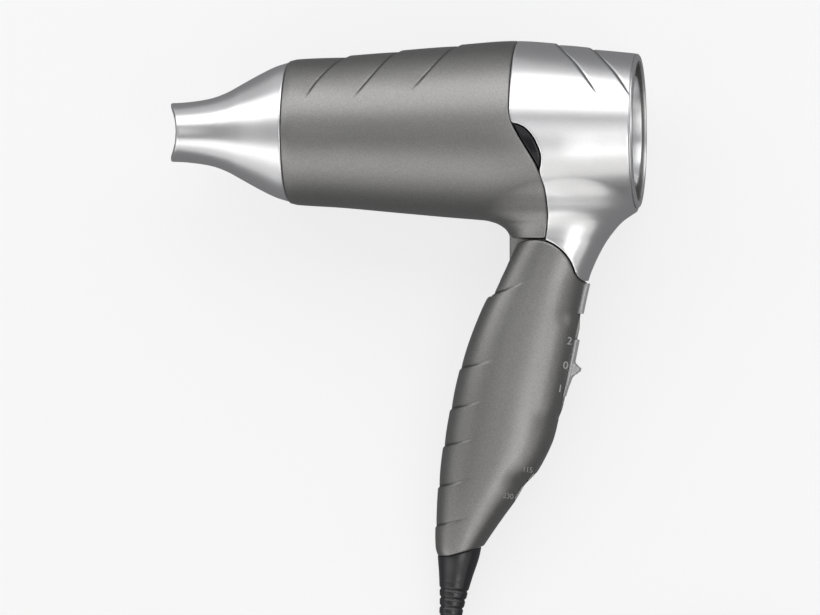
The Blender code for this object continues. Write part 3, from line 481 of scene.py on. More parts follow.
def inlay_field(side):
    """A glossy lens in the window, on a flange behind the housings."""
    def field(x, y, z):
        skin = np.hypot(y, z) - barrel_r(x)
        edge = window(x, y)
        lens = smaxes(0.5, skin + 0.55, edge + 0.35, -(skin + 2.9))
        flange = smaxes(EDGE, skin + WALL + 0.9, edge - 2.2, -(skin + WALL + 2.2))
        return np.maximum(np.minimum(lens, flange), -z * side)
    return field


# ---------------- nozzle
def nozzle_field(x, y, z):
    power = 2 + 0.3 * step((-108 - x) / 30)     # the corners grow fuller towards the mouth
    outer = oval(y, z, nozzle_height(x), nozzle_width(x), power)
    r = np.hypot(y, z)
    outer = smax(outer, x - (FRONT_X - GAP), 0.5)
    skirt = smaxes(EDGE, r - NOZZLE_SKIRT_R, x - NOZZLE_SKIRT_END, FRONT_X - 4 - x)
    outer = np.minimum(outer, skirt)
    inner = oval(y, z, nozzle_height(x) - NOZZLE_WALL, nozzle_width(x) - NOZZLE_WALL, power)
    inner = np.where(x > FRONT_X - 3, np.maximum(inner, r - NOZZLE_SKIRT_BORE_R), inner)
    lip = np.hypot(x - MOUTH_X - MOUTH_RADIUS, z) - MOUTH_RADIUS
    lip = np.where(x < -110, lip, -20)
    return smaxes(0.45, outer, -inner, lip)


# ---------------- handle
# Steps across the handle's front edge: height at the edge, how the line climbs, height of the step
GRIP_STEPS = [(-67.3, 0.26, 0.50), (-96.6, 0.06, 0.55), (-113.2, 0.06, 0.60), (-128.4, 0.06, 0.60),
              (-145.0, 0.05, 0.60), (-161.0, 0.05, 0.45)]
GRIP_FADE, GRIP_REACH = 7.0, 14.0  # how far a step sinks away above it, and runs back along it


def grip_lines(x, y):
    """For each step: how far above its line a point is, its strength there, and its height."""
    reach = np.maximum(x - handle_front(y), 0)
    for place, climb, height in GRIP_STEPS:
        line = place - 1.0 * np.exp(-reach / 1.6) + climb * reach + 0.011 * reach ** 2
        yield y - line, step(1.2 - reach / GRIP_REACH), height


def grip_drop(x, y):
    """How far the handle's front sinks above each step, with a faint groove beside it."""
    return sum(strength * (height * step(0.5 + above / STEP_WIDTH)
                           * np.exp(-np.maximum(above, 0) / GRIP_FADE)
                           + 0.10 * np.exp(-((above - 0.3) / 0.42) ** 2))
               for above, strength, height in grip_lines(x, y))


def grip_crease(x, y):
    # painted shade: how much the paint darkens in the foot of each step on the handle, from 0 to 1
    return sum(strength * np.exp(-((above - 0.15) / 0.5) ** 2)
               for above, strength, _ in grip_lines(x, y))


def rear_swell(x, y):
    """The handle's rear edge stands out round the slide switch and dips at the voltage slider."""
    a, b = local(x, y, *SLIDE)
    swell = 0.9 * step((23 - np.abs(a)) / 7) * step((b + 12) / 9)
    a, b = local(x, y, *VOLT)
    return swell - 1.0 * np.exp(-(a / 4.6) ** 2) * step((b + 10) / 8)


def handle_out(x, y, z, inset=0.0):
    front, rear = handle_front(y) + inset, handle_rear(y) - inset
    return oval(x - (front + rear) / 2, z, (rear - front) / 2, handle_half(y) - inset, SQUARENESS)


def skin_of_handle(x, y, z):
    return handle_out(x, y, z) + grip_drop(x, y) - rear_swell(x, y)


handle_side = outline([(-70, PIVOT[1])] + arc(PIVOT, EAR_R, 180, 12, 50) + rear_foot(EAR_R, 0.5)[1:]
                      + [(40, -62.0)] + HANDLE_BOTTOM[::-1] + [(-70, -172.6)])


def tongue_slot_points():
    """The room that the tongue sweeps through as the barrel folds."""
    clear = TONGUE_R + 0.5
    swung = Vector((0, 1)) @ Matrix.Rotation(-FOLD_LIMIT - math.radians(3), 2)
    side = Vector((-swung.y, swung.x))
    far = Vector(PIVOT) + side * clear + swung * 40
    start = math.degrees(math.atan2(side.y, side.x)) % 360
    return [(far.x, far.y)] + arc(PIVOT, clear, start, 360, 40) + [(clear, -30), (-60, -30)]


tongue_slot = outline(tongue_slot_points())
bezel_seat = outline([(along(HANDLE_REAR, y) + 4.0, y) for y in (-61.0, -75.0)]
                     + [(along(HANDLE_REAR, y) - 1.2, y) for y in (-75.0, -61.0)])


def down_relief(x, y, z):
    """How far a point is down the strain relief's axis, and out from it."""
    t, off = local(x, y, RELIEF_TOP, RELIEF_DOWN, (RELIEF_DOWN[1], -RELIEF_DOWN[0]))
    return t, np.hypot(off, z)


def handle_field(side):
    """One half of the handle; side is 1 for the left half, and -1 for the right."""
    def field(x, y, z):
        body = smaxes(0.5, skin_of_handle(x, y, z), handle_side(x, y))
        body = smax(body, GAP / 2 - z * side, EDGE)
        hollow = smaxes(1.0, handle_out(x, y, z, HANDLE_WALL), y + 80, -165 - y)
        for sx, sy in SCREW_PLACES:
            hollow = np.maximum(hollow, SCREW_BOSS_R - np.hypot(x - sx, y - sy))
        body = np.maximum(body, -hollow)
        body = smax(body, -smax(tongue_slot(x, y), np.abs(z) - SLOT_HALF, EDGE), EDGE)
        pin = np.maximum(np.hypot(x - PIVOT[0], y - PIVOT[1]) - PIN_R - GAP,
                         np.abs(z) - PIN_HALF - GAP)
        scoop = slab(x, y, z, *SLIDE, SLIDE_LENGTH / 2 + SLIDE_TRAVEL + 0.6, 5,
                     SLIDE_HALF_WIDTH + GAP, 3.1, 1.0)
        stem = slab(x, y, z, *SLIDE, 3 + SLIDE_TRAVEL, 5, 1.8, -4)
        volt = slab(x, y, z, *VOLT, 7.0, 5, 4.5, 3.2, 1.0)
        volt_stem = slab(x, y, z, *VOLT, VOLT_REST + 1.4, 5, 1.5, -3.5)
        seat = np.maximum(bezel_seat(x, y), np.abs(z) - 4.7)
        for cut in (pin, stem, volt_stem):
            body = np.maximum(body, -cut)
        for cut in (scoop, volt, seat):
            body = smax(body, -cut, 0.4)
        t, w = down_relief(x, y, z)
        body = smax(body, -smax(w - 5.9, np.abs(t) - 8, EDGE), EDGE)
        body = np.maximum(body, -np.maximum(w - 7.8, np.abs(t + 6.05) - 2.95))
        if side < 0:
            for sx, sy in SCREW_PLACES:
                hole = np.hypot(x - sx, y - sy)
                body = np.maximum(body, 1.7 - hole)
                body = smax(body, -np.maximum(hole - 3.0, z + 9.5), EDGE)
        return body
    return field


def relief_field(x, y, z):
    t, w = down_relief(x, y, z)
    ribs = (0.55 * np.maximum(0, np.cos(2 * np.pi * (t - 6) / 3.6)) ** 2
            * step((t - 13) / 3) * step((30 - t) / 3))
    body = smaxes(0.4, w - relief_r(t) + ribs, t - RELIEF_BODY[-1][0], -relief_foot(x, y), -14 - t)
    collar = np.minimum(smaxes(0.2, w - 7.4, np.abs(t + 4.45) - 0.95),
                        smaxes(0.2, w - 5.6, np.abs(t - 2.2) - 5.6))
    return np.minimum(body, collar)


relief_r = table(RELIEF_BODY)
relief_foot = outline([(-60, -150)] + [(x, y - 0.1) for x, y in HANDLE_BOTTOM] + [(0, -150)])


# ---------------- switch parts
def slider_field(x, y, z):
    """A thin plate with a ribbed thumb nub, and a stem that goes in through the handle."""
    a, b = local(x, y, *SLIDE)
    top = 0.55 - 0.95 * step((-a - 2.5) / 9.5)
    plate = smaxes(0.4, np.abs(a) - SLIDE_LENGTH / 2, b - top, -0.8 - b,
                   np.abs(z) - SLIDE_HALF_WIDTH)
    hump = 0.2 + 3.45 * np.exp(-(np.maximum(a - 0.2, 0) / 1.7) ** 2
                               - (np.maximum(0.2 - a, 0) / 2.9) ** 2)
    ribs = 0.22 * np.cos(2 * np.pi * a / 1.25) * step((hump - 0.6) / 0.8)
    nub = smaxes(0.6, b - hump + ribs * 0.6, -b - 0.5, np.abs(a) - 6.2,
                 np.abs(z) - SLIDE_HALF_WIDTH + 0.7)
    stem = smaxes(0.2, np.abs(a) - 1.6, np.abs(b + 2.9) - 2.0, np.abs(z) - 1.3)
    return np.minimum(smin(plate, nub, 0.6), stem)


def volt_field(x, y, z):
    """A knob with a groove for a tool, on a stem."""
    at = (Vector(VOLT_MID) + VOLT_ALONG * VOLT_REST, VOLT_ALONG, VOLT_OUT)
    knob = slab(x, y, z, *at, 2.6, 0.6, 3.6, -1.0, 0.5)
    a, b = local(x, y, *at)
    groove = smaxes(EDGE, np.abs(a) - 0.45, -(b + 0.85), np.abs(z) - 2.8)
    knob = smax(knob, -groove, 0.2)
    return np.minimum(knob, slab(x, y, z, *at, 1.0, 1.6, 1.0, -2.8, EDGE))


bezel_heights = np.linspace(-62.2, -74.6, 12)
bezel_side = outline([(along(HANDLE_REAR, y) + 1.0, y) for y in bezel_heights]
                     + [(along(HANDLE_REAR, y) - 0.9, y) for y in bezel_heights[::-1]])


def bezel_field(x, y, z):
    return smaxes(0.7, bezel_side(x, y), np.abs(z) - 4.4)


# ---------------- materials
FLAKES, PAINT_METALLIC = 5200, 0.95            # flakes to the metre, and how metallic the paint is
STEP_SHADE_TONE, STEP_SHADE_STRENGTH = 0.2, 0.75       # the painted shade in the foot of a step: its tone, and how much of it
LOOKS = {}


def nodes_of(name):
    """A new material, its node tree and its shader."""
    mat = bpy.data.materials.new(name)
    mat.use_nodes = True
    tree = mat.node_tree
    return mat, tree, tree.nodes["Principled BSDF"]


def feed(tree, node, **inputs):
    """Set a node's inputs, each to a value or to another node's output."""
    for name, value in inputs.items():
        socket = node.inputs[name.replace("_", " ")]
        if isinstance(value, bpy.types.NodeSocket):
            tree.links.new(value, socket)
        else:
            socket.default_value = value
    return node


def add_node(tree, kind, **inputs):
    return feed(tree, tree.nodes.new("ShaderNode" + kind), **inputs)


def noise(tree, scale, detail=2.0, stretch=None):
    place = add_node(tree, "TexCoord").outputs["Object"]
    if stretch:
        place = add_node(tree, "Mapping", Scale=stretch, Vector=place).outputs["Vector"]
    return add_node(tree, "TexNoise", Scale=scale, Detail=detail, Vector=place).outputs["Fac"]


def cells(tree, scale):
    """Small cells, each of one brightness."""
    place = add_node(tree, "TexCoord").outputs["Object"]
    colour = add_node(tree, "TexVoronoi", Scale=scale, Vector=place).outputs["Color"]
    return add_node(tree, "SeparateColor", Color=colour).outputs[0]


def ramp(tree, factor, stops):
    node = add_node(tree, "ValToRGB", Fac=factor)
    elements = node.color_ramp.elements
    for k, (place, colour) in enumerate(stops):
        element = elements[k] if k < 2 else elements.new(place)
        element.position = place
        element.color = (*colour, 1)
    return node.outputs["Color"]


def spread(tree, factor, lo, hi):
    return add_node(tree, "MapRange", To_Min=lo, To_Max=hi, Value=factor).outputs["Result"]


def bump(tree, height, strength, distance):
    made = add_node(tree, "Bump", Strength=strength, Distance=distance, Height=height)
    return made.outputs["Normal"]


def paint(name, dark, light, rough, sparkle, coat, grain):
    """Metallic paint: flakes of slightly different brightness, darkened by painted shade in the
    feet of steps.
    """
    mat, tree, shader = nodes_of(name)
    flakes = cells(tree, FLAKES)
    between = tuple((a + b) / 2 for a, b in zip(dark, light))
    # painted shade: the mesh's shade mask darkens the base colour in the feet of steps
    shade_attribute = add_node(tree, "Attribute")
    shade_attribute.attribute_name = "crease"
    shaded_colour = add_node(tree, "Mix")
    shaded_colour.data_type = "RGBA"
    feed(tree, shaded_colour, Factor=spread(tree, shade_attribute.outputs["Fac"], 0.0, STEP_SHADE_STRENGTH),
         A=ramp(tree, flakes, [(0.0, dark), (sparkle, between), (1.0, light)]),
         B=(*(STEP_SHADE_TONE * c for c in dark), 1))
    feed(tree, shader, Base_Color=shaded_colour.outputs["Result"], Metallic=PAINT_METALLIC,
         Roughness=spread(tree, noise(tree, FLAKES * 0.6), rough - 0.05, rough + 0.06),
         Coat_Weight=coat, Coat_Roughness=0.15, Normal=bump(tree, flakes, 0.25, grain))
    LOOKS[name] = mat


def plain(name, colour, rough, metallic=0.0, scale=900.0, vary=0.12, depth=0.00002, stretch=None,
          coat=0.0, specular=0.5):
    """Moulded or turned surface with a little variation in tone and gloss."""
    mat, tree, shader = nodes_of(name)
    tone = noise(tree, scale, 3.0, stretch)
    lo = tuple(c * (1 - vary) for c in colour)
    hi = tuple(min(1.0, c * (1 + vary)) for c in colour)
    gloss = noise(tree, scale * 0.35, 2.0, stretch)
    feed(tree, shader, Base_Color=ramp(tree, tone, [(0.3, lo), (0.7, hi)]),
         Roughness=spread(tree, gloss, rough * 0.85, rough * 1.15), Metallic=metallic,
         Coat_Weight=coat, Specular_IOR_Level=specular, Normal=bump(tree, tone, 0.4, depth))
    LOOKS[name] = mat


paint("dark_paint", (0.225, 0.223, 0.218), (0.33, 0.327, 0.320), 0.42, 0.6, 0.0, 0.000010)
paint("silver_paint", (0.76, 0.76, 0.765), (0.82, 0.82, 0.825), 0.30, 0.5, 0.15, 0.000006)
plain("black_gloss", (0.010, 0.010, 0.012), 0.2, coat=0.15, depth=0.000002, specular=0.3)
plain("grey_plastic", (0.42, 0.42, 0.425), 0.36, 0.35, 2500, 0.08)
plain("black_plastic", (0.022, 0.021, 0.023), 0.45, 0.0, 2600, 0.3, 0.00005)
plain("black_rubber", (0.014, 0.013, 0.015), 0.34, 0.0, 1800, 0.25, 0.00002, coat=0.2)
plain("steel", (0.60, 0.60, 0.62), 0.28, 1.0, 700, 0.1, 0.00001, (1, 12, 12))
plain("mica", (0.60, 0.52, 0.38), 0.35, 0.1, 500, 0.25)
plain("heating_wire", (0.42, 0.38, 0.36), 0.35, 1.0, 1500, 0.2)
plain("circuit_board", (0.20, 0.28, 0.12), 0.5, 0.0, 1200, 0.15)
plain("brass", (0.72, 0.56, 0.28), 0.25, 1.0, 900, 0.1, 0.00001, (1, 1, 10))
plain("red_button", (0.55, 0.04, 0.03), 0.35, 0.0, 1600, 0.15)
plain("marks", (0.34, 0.34, 0.335), 0.5, 0.0, 2500, 0.05)
plain("faint_marks", (0.25, 0.25, 0.247), 0.5, 0.0, 2500, 0.05)
SLOT_OF = {s["node"]: s["material_slot"] for s in frame["record"]["subparts"]}
for node in frame["nodes"]:
    skin = bpy.data.objects[node].data.materials
    skin.clear()
    skin.append(LOOKS[SLOT_OF[node]])


def finish_piece(obj, body, look, *nodes):
    """Ride a body, take a finish, and stand for its CAD nodes."""
    obj.data.materials.clear()
    obj.data.materials.append(LOOKS[look])
    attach(obj, body)
    if nodes:
        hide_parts(*nodes)


# ---------------- camera, as far as a studio stands
VIEW_MIDDLE = Vector((-52.304, -72.037, 0))
VIEW_TURN = math.radians(7.5)
VIEW_DISTANCE = 3034.0
camera = link("camera", bpy.data.cameras.new("camera"))


def standing(axes, place):
    """The matrix of something at a place with its own X, Y and Z along three axes."""
    return Matrix([[*(a[i] for a in axes), place[i]] for i in range(3)] + [[0, 0, 0, 1]])


away = Vector((math.sin(VIEW_TURN), 0, math.cos(VIEW_TURN)))
right = Vector((math.cos(VIEW_TURN), 0, -math.sin(VIEW_TURN)))
turned_frame = Matrix.Rotation(TIP, 3, "X")
axes = [turned_frame @ v for v in (right, Vector((0, 1, 0)), away)]
camera.matrix_world = standing(axes, LAY @ (VIEW_MIDDLE + away * VIEW_DISTANCE))
camera.data.lens = 324.9
camera.data.sensor_width = 36
camera.data.clip_end = 50
bpy.context.scene.camera = camera
bpy.context.scene.view_settings.view_transform = "Standard"

# ---------------- cord
COIL_TURNS = [(44.8, 5.0), (38.0, 5.0), (31.2, 5.0), (31.2, 11.8), (38.0, 11.8), (44.8, 11.8)]
COIL_FROM, COIL_SPAN = math.radians(192), 5 + 74 / 360


def coil_points():
    """In at the lower outer turn, in to the middle, up, and out again on the upper layer."""
    points = []
    steps = int(COIL_SPAN * 60)
    for k in range(steps + 1):
        turn = COIL_SPAN * k / steps
        i = min(int(turn), 4)
        u = min(max((turn - i - 0.45) / 0.55, 0.0), 1.0)     # moves over late in each turn
        bulge = 2.7 * math.sin(math.pi * u) ** 2 if i == 2 else 0.0     # clears it as it climbs
        u = u * u * (3 - 2 * u)
        (r0, z0), (r1, z1) = COIL_TURNS[i], COIL_TURNS[i + 1]
        a = COIL_FROM + 2 * math.pi * turn
        r = r0 * (1 - u) + r1 * u - bulge
        points.append(Vector((RING_MIDDLE[0] + r * math.cos(a), RING_MIDDLE[1] + r * math.sin(a),
                              z0 * (1 - u) + z1 * u)))
    return points


def build_cord():
    coil = coil_points()
    lead = smooth_path(LEAD + [(6.6, -180.5, 3.9), (7.1, -193, 4.6), tuple(coil[2])], 8)
    tail = smooth_path([tuple(coil[-2]), tuple(coil[-1]), (66.5, -241.2, 11.0)] + TAIL, 8)
    path = lead[:-1] + coil[2:-1] + tail[8:]
    curve = bpy.data.curves.new("cord", "CURVE")
    curve.dimensions = "3D"
    curve.bevel_depth = CORD_D / 2 * MM
    curve.bevel_resolution = 6
    curve.use_fill_caps = True
    spline = curve.splines.new("POLY")
    spline.points.add(len(path) - 1)
    for point, spot in zip(spline.points, path):
        point.co = (*(spot * MM), 1)
    spline.use_smooth = True
    length = sum((b - a).length for a, b in zip(path, path[1:])) * MM
    cord = link("cord", curve)
    finish_piece(cord, "handle", "black_rubber", "cord_lead", "cord_coil", "cord_tail")
    return cord, path[0] * MM, length


cord, cord_exit, cord_length = build_cord()

# ---------------- pieces
def add(name, body, look, node, field, low, high, pitch, **how):
    """Mesh a field between two corners, and finish it as the piece that stands for a node."""
    finish_piece(mesh_field(name, field, low, high, pitch, **how), body, look, node)


def one_side(side, low, high):
    """Two corners on the left side, or their mirror image on the right."""
    return (low, high) if side > 0 else ((*low[:2], -high[2]), (*high[:2], -low[2]))


def shells():
    add("front_shell", "barrel", "dark_paint", "front_housing", front_field,
        (-101.8, -72.5, -37.5), (6.9, 37.6, 37.5), 0.5, crease=ridge_crease)
    add("rear_shell", "barrel", "silver_paint", "rear_housing", rear_field,
        (-7.6, -62.5, -37.5), (41, 37.6, 37.5), 0.5, crease=ridge_crease)
    for name, side in (("inlay_left", 1), ("inlay_right", -1)):
        add(name + "_lens", "barrel", "black_gloss", name, inlay_field(side),
            *one_side(side, (-9.5, -20.5, 20), (8.5, 5.8, 37.5)), 0.35)
    add("air_nozzle", "nozzle", "silver_paint", "nozzle", nozzle_field,
        (-151.3, -29.4, -29.4), (-90.8, 29.4, 29.4), 0.55)
    for name, side in (("handle_left", 1), ("handle_right", -1)):
        add(name + "_grip", "handle", "dark_paint", name, handle_field(side),
            *one_side(side, (-43, -174, -0.2), (31, -44, 18)), 0.5, crease=grip_crease)


def grille_field(x0, x1, rings, rim, hub):
    """Thin rings on six spokes inside a rim, between two places along the barrel."""
    def field(x, y, z):
        r, a = np.hypot(y, z), np.arctan2(z, y)
        body = smin(smaxes(EDGE, r - rim, rim - 1.4 - r), r - hub, 0.8)
        for ring in rings:
            body = np.minimum(body, np.abs(r - ring) - 0.45)
        turn = 2 * math.pi / 6
        off = (a - 0.13 + turn / 2) % turn - turn / 2
        arm = smaxes(EDGE, np.abs(r * np.sin(off)) - 0.6, r - rim + 0.6)
        return smax(smin(body, arm, 0.5), np.abs(x - (x0 + x1) / 2) - (x1 - x0) / 2, 0.35)
    return field


def woven_filter():
    """The lint filter: wires woven over and under each other in a pressed rim."""
    middle, reach, rim = 28.3, 23.0, 24.0
    pitch, wire, sides, rim_sides = 1.45, 0.17, 5, 120
    verts, faces = [], []
    count = int(reach / pitch)
    for across in (0, 1):
        for i in range(-count, count + 1):
            fixed = i * pitch
            half = math.sqrt(max(reach * reach - fixed * fixed, 0.01))
            steps = max(int(2 * half / (pitch / 4)), 2)
            first = len(verts)
            for k in range(steps + 1):
                t = -half + 2 * half * k / steps
                lift = 0.2 * math.cos(math.pi * t / pitch) * (1 if (i + across) % 2 else -1)
                for side, up in circle(wire, sides):
                    spot = (fixed + side, t) if across else (t, fixed + side)
                    verts.append((middle + (lift + up), *spot))
            faces += tube_faces(first, steps + 1, sides, False)
            faces += [tuple(range(end, end + sides)) for end in (first, first + steps * sides)]
    first, inside = len(verts), reach - 0.6
    profile = rounded([(middle - 0.65, rim), (middle + 0.65, rim), (middle + 0.65, inside),
                       (middle - 0.65, inside)], 0.3, 3)
    verts += [(x, *spot) for x, r in profile for spot in circle(r, rim_sides)]
    return mesh_from("lint_mesh", verts, faces + tube_faces(first, len(profile), rim_sides, True))


def intake():
    ring = turned("intake_lip", rounded([(RECESS_X + GAP, 22.6), (40.6, 22.6), (41.0, 22.0),
                                         (41.0, 21.3), (RECESS_X + GAP, 20.9)], 0.5), 160)
    finish_piece(ring, "barrel", "silver_paint", "intake_ring")
    rim = turned("intake_rim_ring", rounded([(RIM_X - 0.3, 28.7), (RIM_X - 0.3, 30.5),
                                             (RIM_X + 0.4, 30.5), (RIM_X + 0.4, 31.7),
                                             (REAR_X, 30.9), (REAR_X, 28.7)], 0.2), 180)
    finish_piece(rim, "barrel", "silver_paint")
    cove = [(x, cove_r(x)) for x in np.linspace(32.3, 41.3, 24)]
    liner = turned("recess_liner", [(x, r + 0.1) for x, r in cove]
                   + [(x, r - 0.3) for x, r in cove[::-1]], 128)
    finish_piece(liner, "barrel", "dark_paint")
    add("intake_grid", "barrel", "black_plastic", "intake_grille",
        grille_field(30.4, 32.8, (6.6, 9.2, 11.8, 14.4, 17.0), 20.6, 4.0),
        (30.3, -20.7, -20.7), (32.9, 20.7, 20.7), 0.36)
    finish_piece(woven_filter(), "barrel", "steel", "lint_filter")
    add("outlet_grid", "barrel", "black_plastic", "outlet_grille",
        grille_field(-90.4, -87.4, (7, 11, 15, 19, 23), 27.6, 3.0),
        (-90.5, -27.7, -27.7), (-87.3, 27.7, 27.7), 0.42)


def screws():
    """Pan head screws with a cross recess, deep in the right half of the handle."""
    for k, (sx, sy) in enumerate(SCREW_PLACES):
        def field(x, y, z, sx=sx, sy=sy):
            across, up = np.abs(x - sx), np.abs(y - sy)
            r = np.hypot(x - sx, y - sy)
            head = smaxes(0.5, r - 2.6, -11.2 - z + 0.045 * r ** 2, z + 9.6)
            shank = smaxes(0.2, r - 1.4 + 0.12 * np.cos(2 * np.pi * z / 1.1), -9.8 - z, z - 9.2)
            cross = np.minimum(np.maximum(across - 0.4, up - 1.6),
                               np.maximum(up - 0.4, across - 1.6))
            return smax(np.minimum(head, shank), -smax(cross, z + 10.2, 0.1), 0.1)
        add(f"screw_{k + 1}", "handle", "steel", f"handle_screw_{k + 1}", field,
            (sx - 2.7, sy - 2.7, -11.3), (sx + 2.7, sy + 2.7, 9.3), 0.25)


def switch_parts():
    add("switch_thumb", "switch", "grey_plastic", "switch_slider", slider_field,
        (4.5, -110, -5.6), (20.5, -83.5, 5.6), 0.3)
    add("voltage_thumb", "selector", "black_gloss", "voltage_slider", volt_field,
        (-12.5, -150.5, -4.2), (0.5, -138.5, 4.2), 0.3)
    add("switch_strip", "handle", "grey_plastic", "switch_bezel", bezel_field,
        (16.5, -75.5, -4.8), (23, -61.5, 4.8), 0.3)
    add("cord_sleeve", "handle", "black_rubber", "strain_relief", relief_field,
        (-48, -207, -9.6), (-18, -156, 9.6), 0.4)


# ---------------- marks by the switches
MARK_NARROW, MARK_STANDS_OUT, MARK_THICK = 0.78, 0.1, 0.12     # width as a share, then mm
MARK_PIECE = 0.5                   # longest edge that isn't divided, so that it follows the handle


def mark(name, text, middle, size, turn, ink):
    """Raised printed characters that follow the handle's side."""
    font = bpy.data.curves.new(name, "FONT")
    font.body = text
    font.size = size
    font.align_x = "CENTER"
    font.align_y = "CENTER"
    font.resolution_u = 6
    text_obj = link(name, font)
    seen = text_obj.evaluated_get(bpy.context.evaluated_depsgraph_get())
    mesh = bpy.data.meshes.new_from_object(seen)
    bpy.data.objects.remove(text_obj)
    bm = bmesh.new()
    bm.from_mesh(mesh)
    for _ in range(3):
        bmesh.ops.triangulate(bm, faces=bm.faces)
        long = [e for e in bm.edges if e.calc_length() > MARK_PIECE]
        bmesh.ops.subdivide_edges(bm, edges=long, cuts=1)
    bmesh.ops.triangulate(bm, faces=bm.faces)
    bm.to_mesh(mesh)
    bm.free()
    c, s = math.cos(turn), math.sin(turn)
    pts = np.array([(middle[0] + v.co.x * MARK_NARROW * c - v.co.y * s,
                     middle[1] + v.co.x * MARK_NARROW * s + v.co.y * c) for v in mesh.vertices])
    lo, hi = np.zeros(len(pts)), np.full(len(pts), 19.0)     # 19 is outside the handle everywhere
    for _ in range(30):
        mid = (lo + hi) / 2
        inside = skin_of_handle(pts[:, 0], pts[:, 1], mid) < 0
        lo, hi = np.where(inside, mid, lo), np.where(inside, hi, mid)
    for v, p, z in zip(mesh.vertices, pts, hi):
        v.co = (p[0], p[1], z + MARK_STANDS_OUT)
    mesh.transform(LAY)
    obj = link(name, mesh)
    solid = obj.modifiers.new("thickness", "SOLIDIFY")
    solid.thickness = MARK_THICK * MM
    solid.offset = 0
    obj.data.materials.append(LOOKS[ink])
    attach(obj, "handle")


def marks():
    for name, text, middle in (("mark_two", "2", (14.5, -85.8)), ("mark_zero", "0", (12.8, -95.7)),
                               ("mark_one", "1", (10.6, -105.2))):
        mark(name, text, middle, 4.4, math.radians(-9), "marks")
    for name, text, middle in (("mark_low_volts", "115", (-2.6, -138.2)),
                               ("mark_high_volts", "230", (-10.6, -149.0))):
        mark(name, text, middle, 3.2, math.radians(-10), "faint_marks")


# ---------------- cord's fittings
def plug():
    cx, cy = PLUG_MIDDLE
    hx, hy = PLUG_HALF
    mid = PLUG_HEIGHT / 2

    def block(x, y, z):
        side = smax(np.abs(x - cx) - hx, np.abs(y - cy) - hy, 6.0)
        return smax(side, np.abs(z - mid) - mid, 3.0)

    def shell(x, y, z):
        return smax(block(x, y, z), z - mid + GAP / 2, EDGE)

    def cover(x, y, z):
        full = smax(block(x, y, z), mid + GAP / 2 - z, EDGE)
        for row in PLUG_ROWS:
            pocket = smaxes(0.4, np.abs(x - cx) - 5.0, np.abs(y - cy - row) - 2.6,
                            PLUG_HEIGHT - 3.2 - z)
            full = smax(full, -pocket, EDGE)
        return full

    box = (cx - hx - 0.5, cy - hy - 0.5, -0.3), (cx + hx + 0.5, cy + hy + 0.5, PLUG_HEIGHT + 0.3)
    add("plug_base", "handle", "black_plastic", "plug_shell", shell, *box, 0.8, matrix=METRES)
    add("plug_lid", "handle", "black_plastic", "plug_cover", cover, *box, 0.7, matrix=METRES)
    profile = [(0, 0.5), (0, 6.8)]
    for k in range(40):
        t = 0.6 + k * (PLUG_RELIEF_LENGTH - 1.2) / 39
        r = along([(0, 6.8), (6, 6.4), (13, 5.2), (PLUG_RELIEF_LENGTH, 4.2)], t)
        profile.append((t, r - 0.5 * max(0.0, math.cos(2 * math.pi * t / 3.2)) ** 2))
    profile += [(PLUG_RELIEF_LENGTH, 4.0), (PLUG_RELIEF_LENGTH, 0.5)]
    sleeve = turned("plug_sleeve", profile, 48, (cx, cy - hy - GAP, PLUG_CORD_Z), (0, -1, 0),
                    METRES)
    finish_piece(sleeve, "handle", "black_rubber", "plug_relief")
    face = cy + hy + GAP
    thick, length, high = BLADE
    for name, way in (("plug_blade_left", -1), ("plug_blade_right", 1)):
        bx = cx + way * BLADE_SPACING / 2

        def blade(x, y, z, bx=bx):
            flat = smaxes(0.5, np.abs(x - bx) - thick / 2, np.abs(z - mid) - high / 2, face - y,
                          y - face - length + 0.6 * np.abs(z - mid) ** 2 / 10)
            return smax(flat, 1.6 - np.hypot(y - face - 13.5, z - mid), 0.2)
        add(name + "_tab", "handle", "brass", name, blade, (bx - 1.1, face - 0.3, 9.3),
            (bx + 1.1, face + 17.8, 16.7), 0.35, matrix=METRES)
    looks = {"test_button": "black_gloss", "reset_button": "red_button"}
    for row, (name, look) in zip(PLUG_ROWS, looks.items()):
        def cap(x, y, z, row=row):
            return smaxes(0.5, np.abs(x - cx) - 4.7, np.abs(y - cy - row) - 2.3,
                          np.abs(z - PLUG_HEIGHT + 0.45) - 1.25)
        add(name + "_cap", name, look, name, cap, (cx - 5, cy + row - 2.6, PLUG_HEIGHT - 2),
            (cx + 5, cy + row + 2.6, PLUG_HEIGHT + 1), 0.3, matrix=METRES)
    tie()


def tie():
    """A rubber strap round the coil, with rounded corners."""
    half = 3 * CORD_D / 2 + 3 * GAP
    top = RING_LOW + 2 * CORD_D + GAP
    c, s = math.cos(TIE_ANGLE), math.sin(TIE_ANGLE)

    def strap(x, y, z):
        dx, dy = x - RING_MIDDLE[0], y - RING_MIDDLE[1]
        u, v = dx * c + dy * s - RING_TURN_R, -dx * s + dy * c
        outer = smax(np.abs(u) - half - 1.0, np.abs(z - (0.3 + top + 1) / 2) - (top + 0.7) / 2, 1.5)
        inner = smax(np.abs(u) - half,
                     np.abs(z - (RING_LOW - GAP + top) / 2) - (top - RING_LOW + GAP) / 2, 1.0)
        return smaxes(0.4, outer, -inner, np.abs(v) - 4)
    mx, my = RING_MIDDLE[0] + RING_TURN_R * c, RING_MIDDLE[1] + RING_TURN_R * s
    add("tie_strap", "handle", "black_plastic", "cord_tie", strap, (mx - 14, my - 14, 0),
        (mx + 14, my + 14, top + 1.3), 0.4, matrix=METRES)


shells()
intake()
screws()
switch_parts()
marks()
plug()
tuple(cord_exit)


# ---------------- studio
FLOOR_HALF, FLOOR_GLOW = 6, 0.765              # half the floor's side in metres, and its emission
LIT_MIDDLE = Vector((-40, -60, 0))             # what the softboxes are aimed at


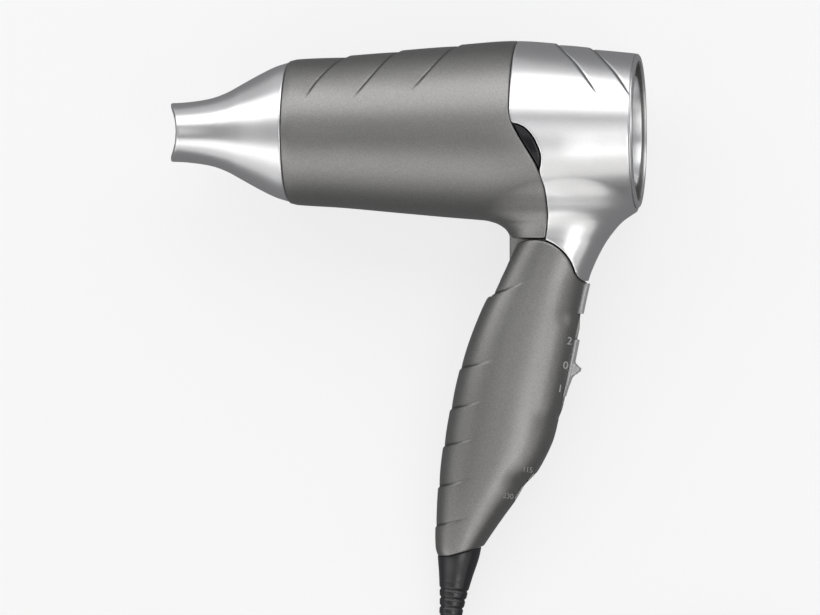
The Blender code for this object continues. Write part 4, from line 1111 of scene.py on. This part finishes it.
def studio():
    floor = bpy.data.meshes.new("floor")
    floor.from_pydata([(x * FLOOR_HALF, y * FLOOR_HALF, 0) for x, y in
                       ((-1, -1), (1, -1), (1, 1), (-1, 1))], [], [(0, 1, 2, 3)])
    floor_obj = link("floor", floor)
    mat, tree, shader = nodes_of("floor_pale")
    feed(tree, shader, Base_Color=(0.14, 0.14, 0.14, 1), Roughness=0.9,
         Emission_Color=(1, 1, 1, 1), Emission_Strength=FLOOR_GLOW)
    floor_obj.data.materials.append(mat)
    floor_obj.visible_glossy = False
    world = bpy.data.worlds.new("studio")
    world.use_nodes = True
    feed(world.node_tree, world.node_tree.nodes["Background"], Color=(0.17, 0.17, 0.175, 1),
         Strength=1.0)
    bpy.context.scene.world = world

    def softbox(name, azimuth, elevation, size_x, size_y, glow, distance=1250, tint=(1, 1, 1)):
        """A lamp at angles from the dryer's left side, in millimetres; its sizes are in metres."""
        lamp = bpy.data.lights.new(name, "AREA")
        lamp.shape = "RECTANGLE"
        lamp.size, lamp.size_y = size_x, size_y
        lamp.energy = math.pi * size_x * size_y * glow
        lamp.color = tint
        az, el = math.radians(azimuth), math.radians(elevation)
        way = Vector((math.sin(az) * math.cos(el), math.sin(el), math.cos(az) * math.cos(el)))
        at, to = LAY @ (LIT_MIDDLE + way * distance), LAY @ LIT_MIDDLE
        back = (at - to).normalized()
        side = (turned_frame @ Vector((0, 1, 0))).cross(back).normalized()
        link(name, lamp).matrix_world = standing((side, back.cross(side), back), at)

    softbox("upper_softbox", 0, 52, 5.0, 1.1, 1.75)
    softbox("high_left_fill", -48, 78, 2.0, 0.8, 0.35)
    softbox("low_softbox", 4, -46, 5.0, 0.9, 0.68, tint=(1.0, 0.985, 0.96))
    softbox("low_left_fill", -53, -49, 1.4, 1.3, 0.62)
    softbox("right_softbox", 27, -16, 0.62, 0.7, 2.2)
    softbox("front_softbox", 0, 3, 2.4, 1.3, 0.78, 3700)
    softbox("left_softbox", -62, -4, 1.0, 1.3, 0.35)
    softbox("side_softbox", 84, 8, 0.5, 0.3, 1.6)


studio()
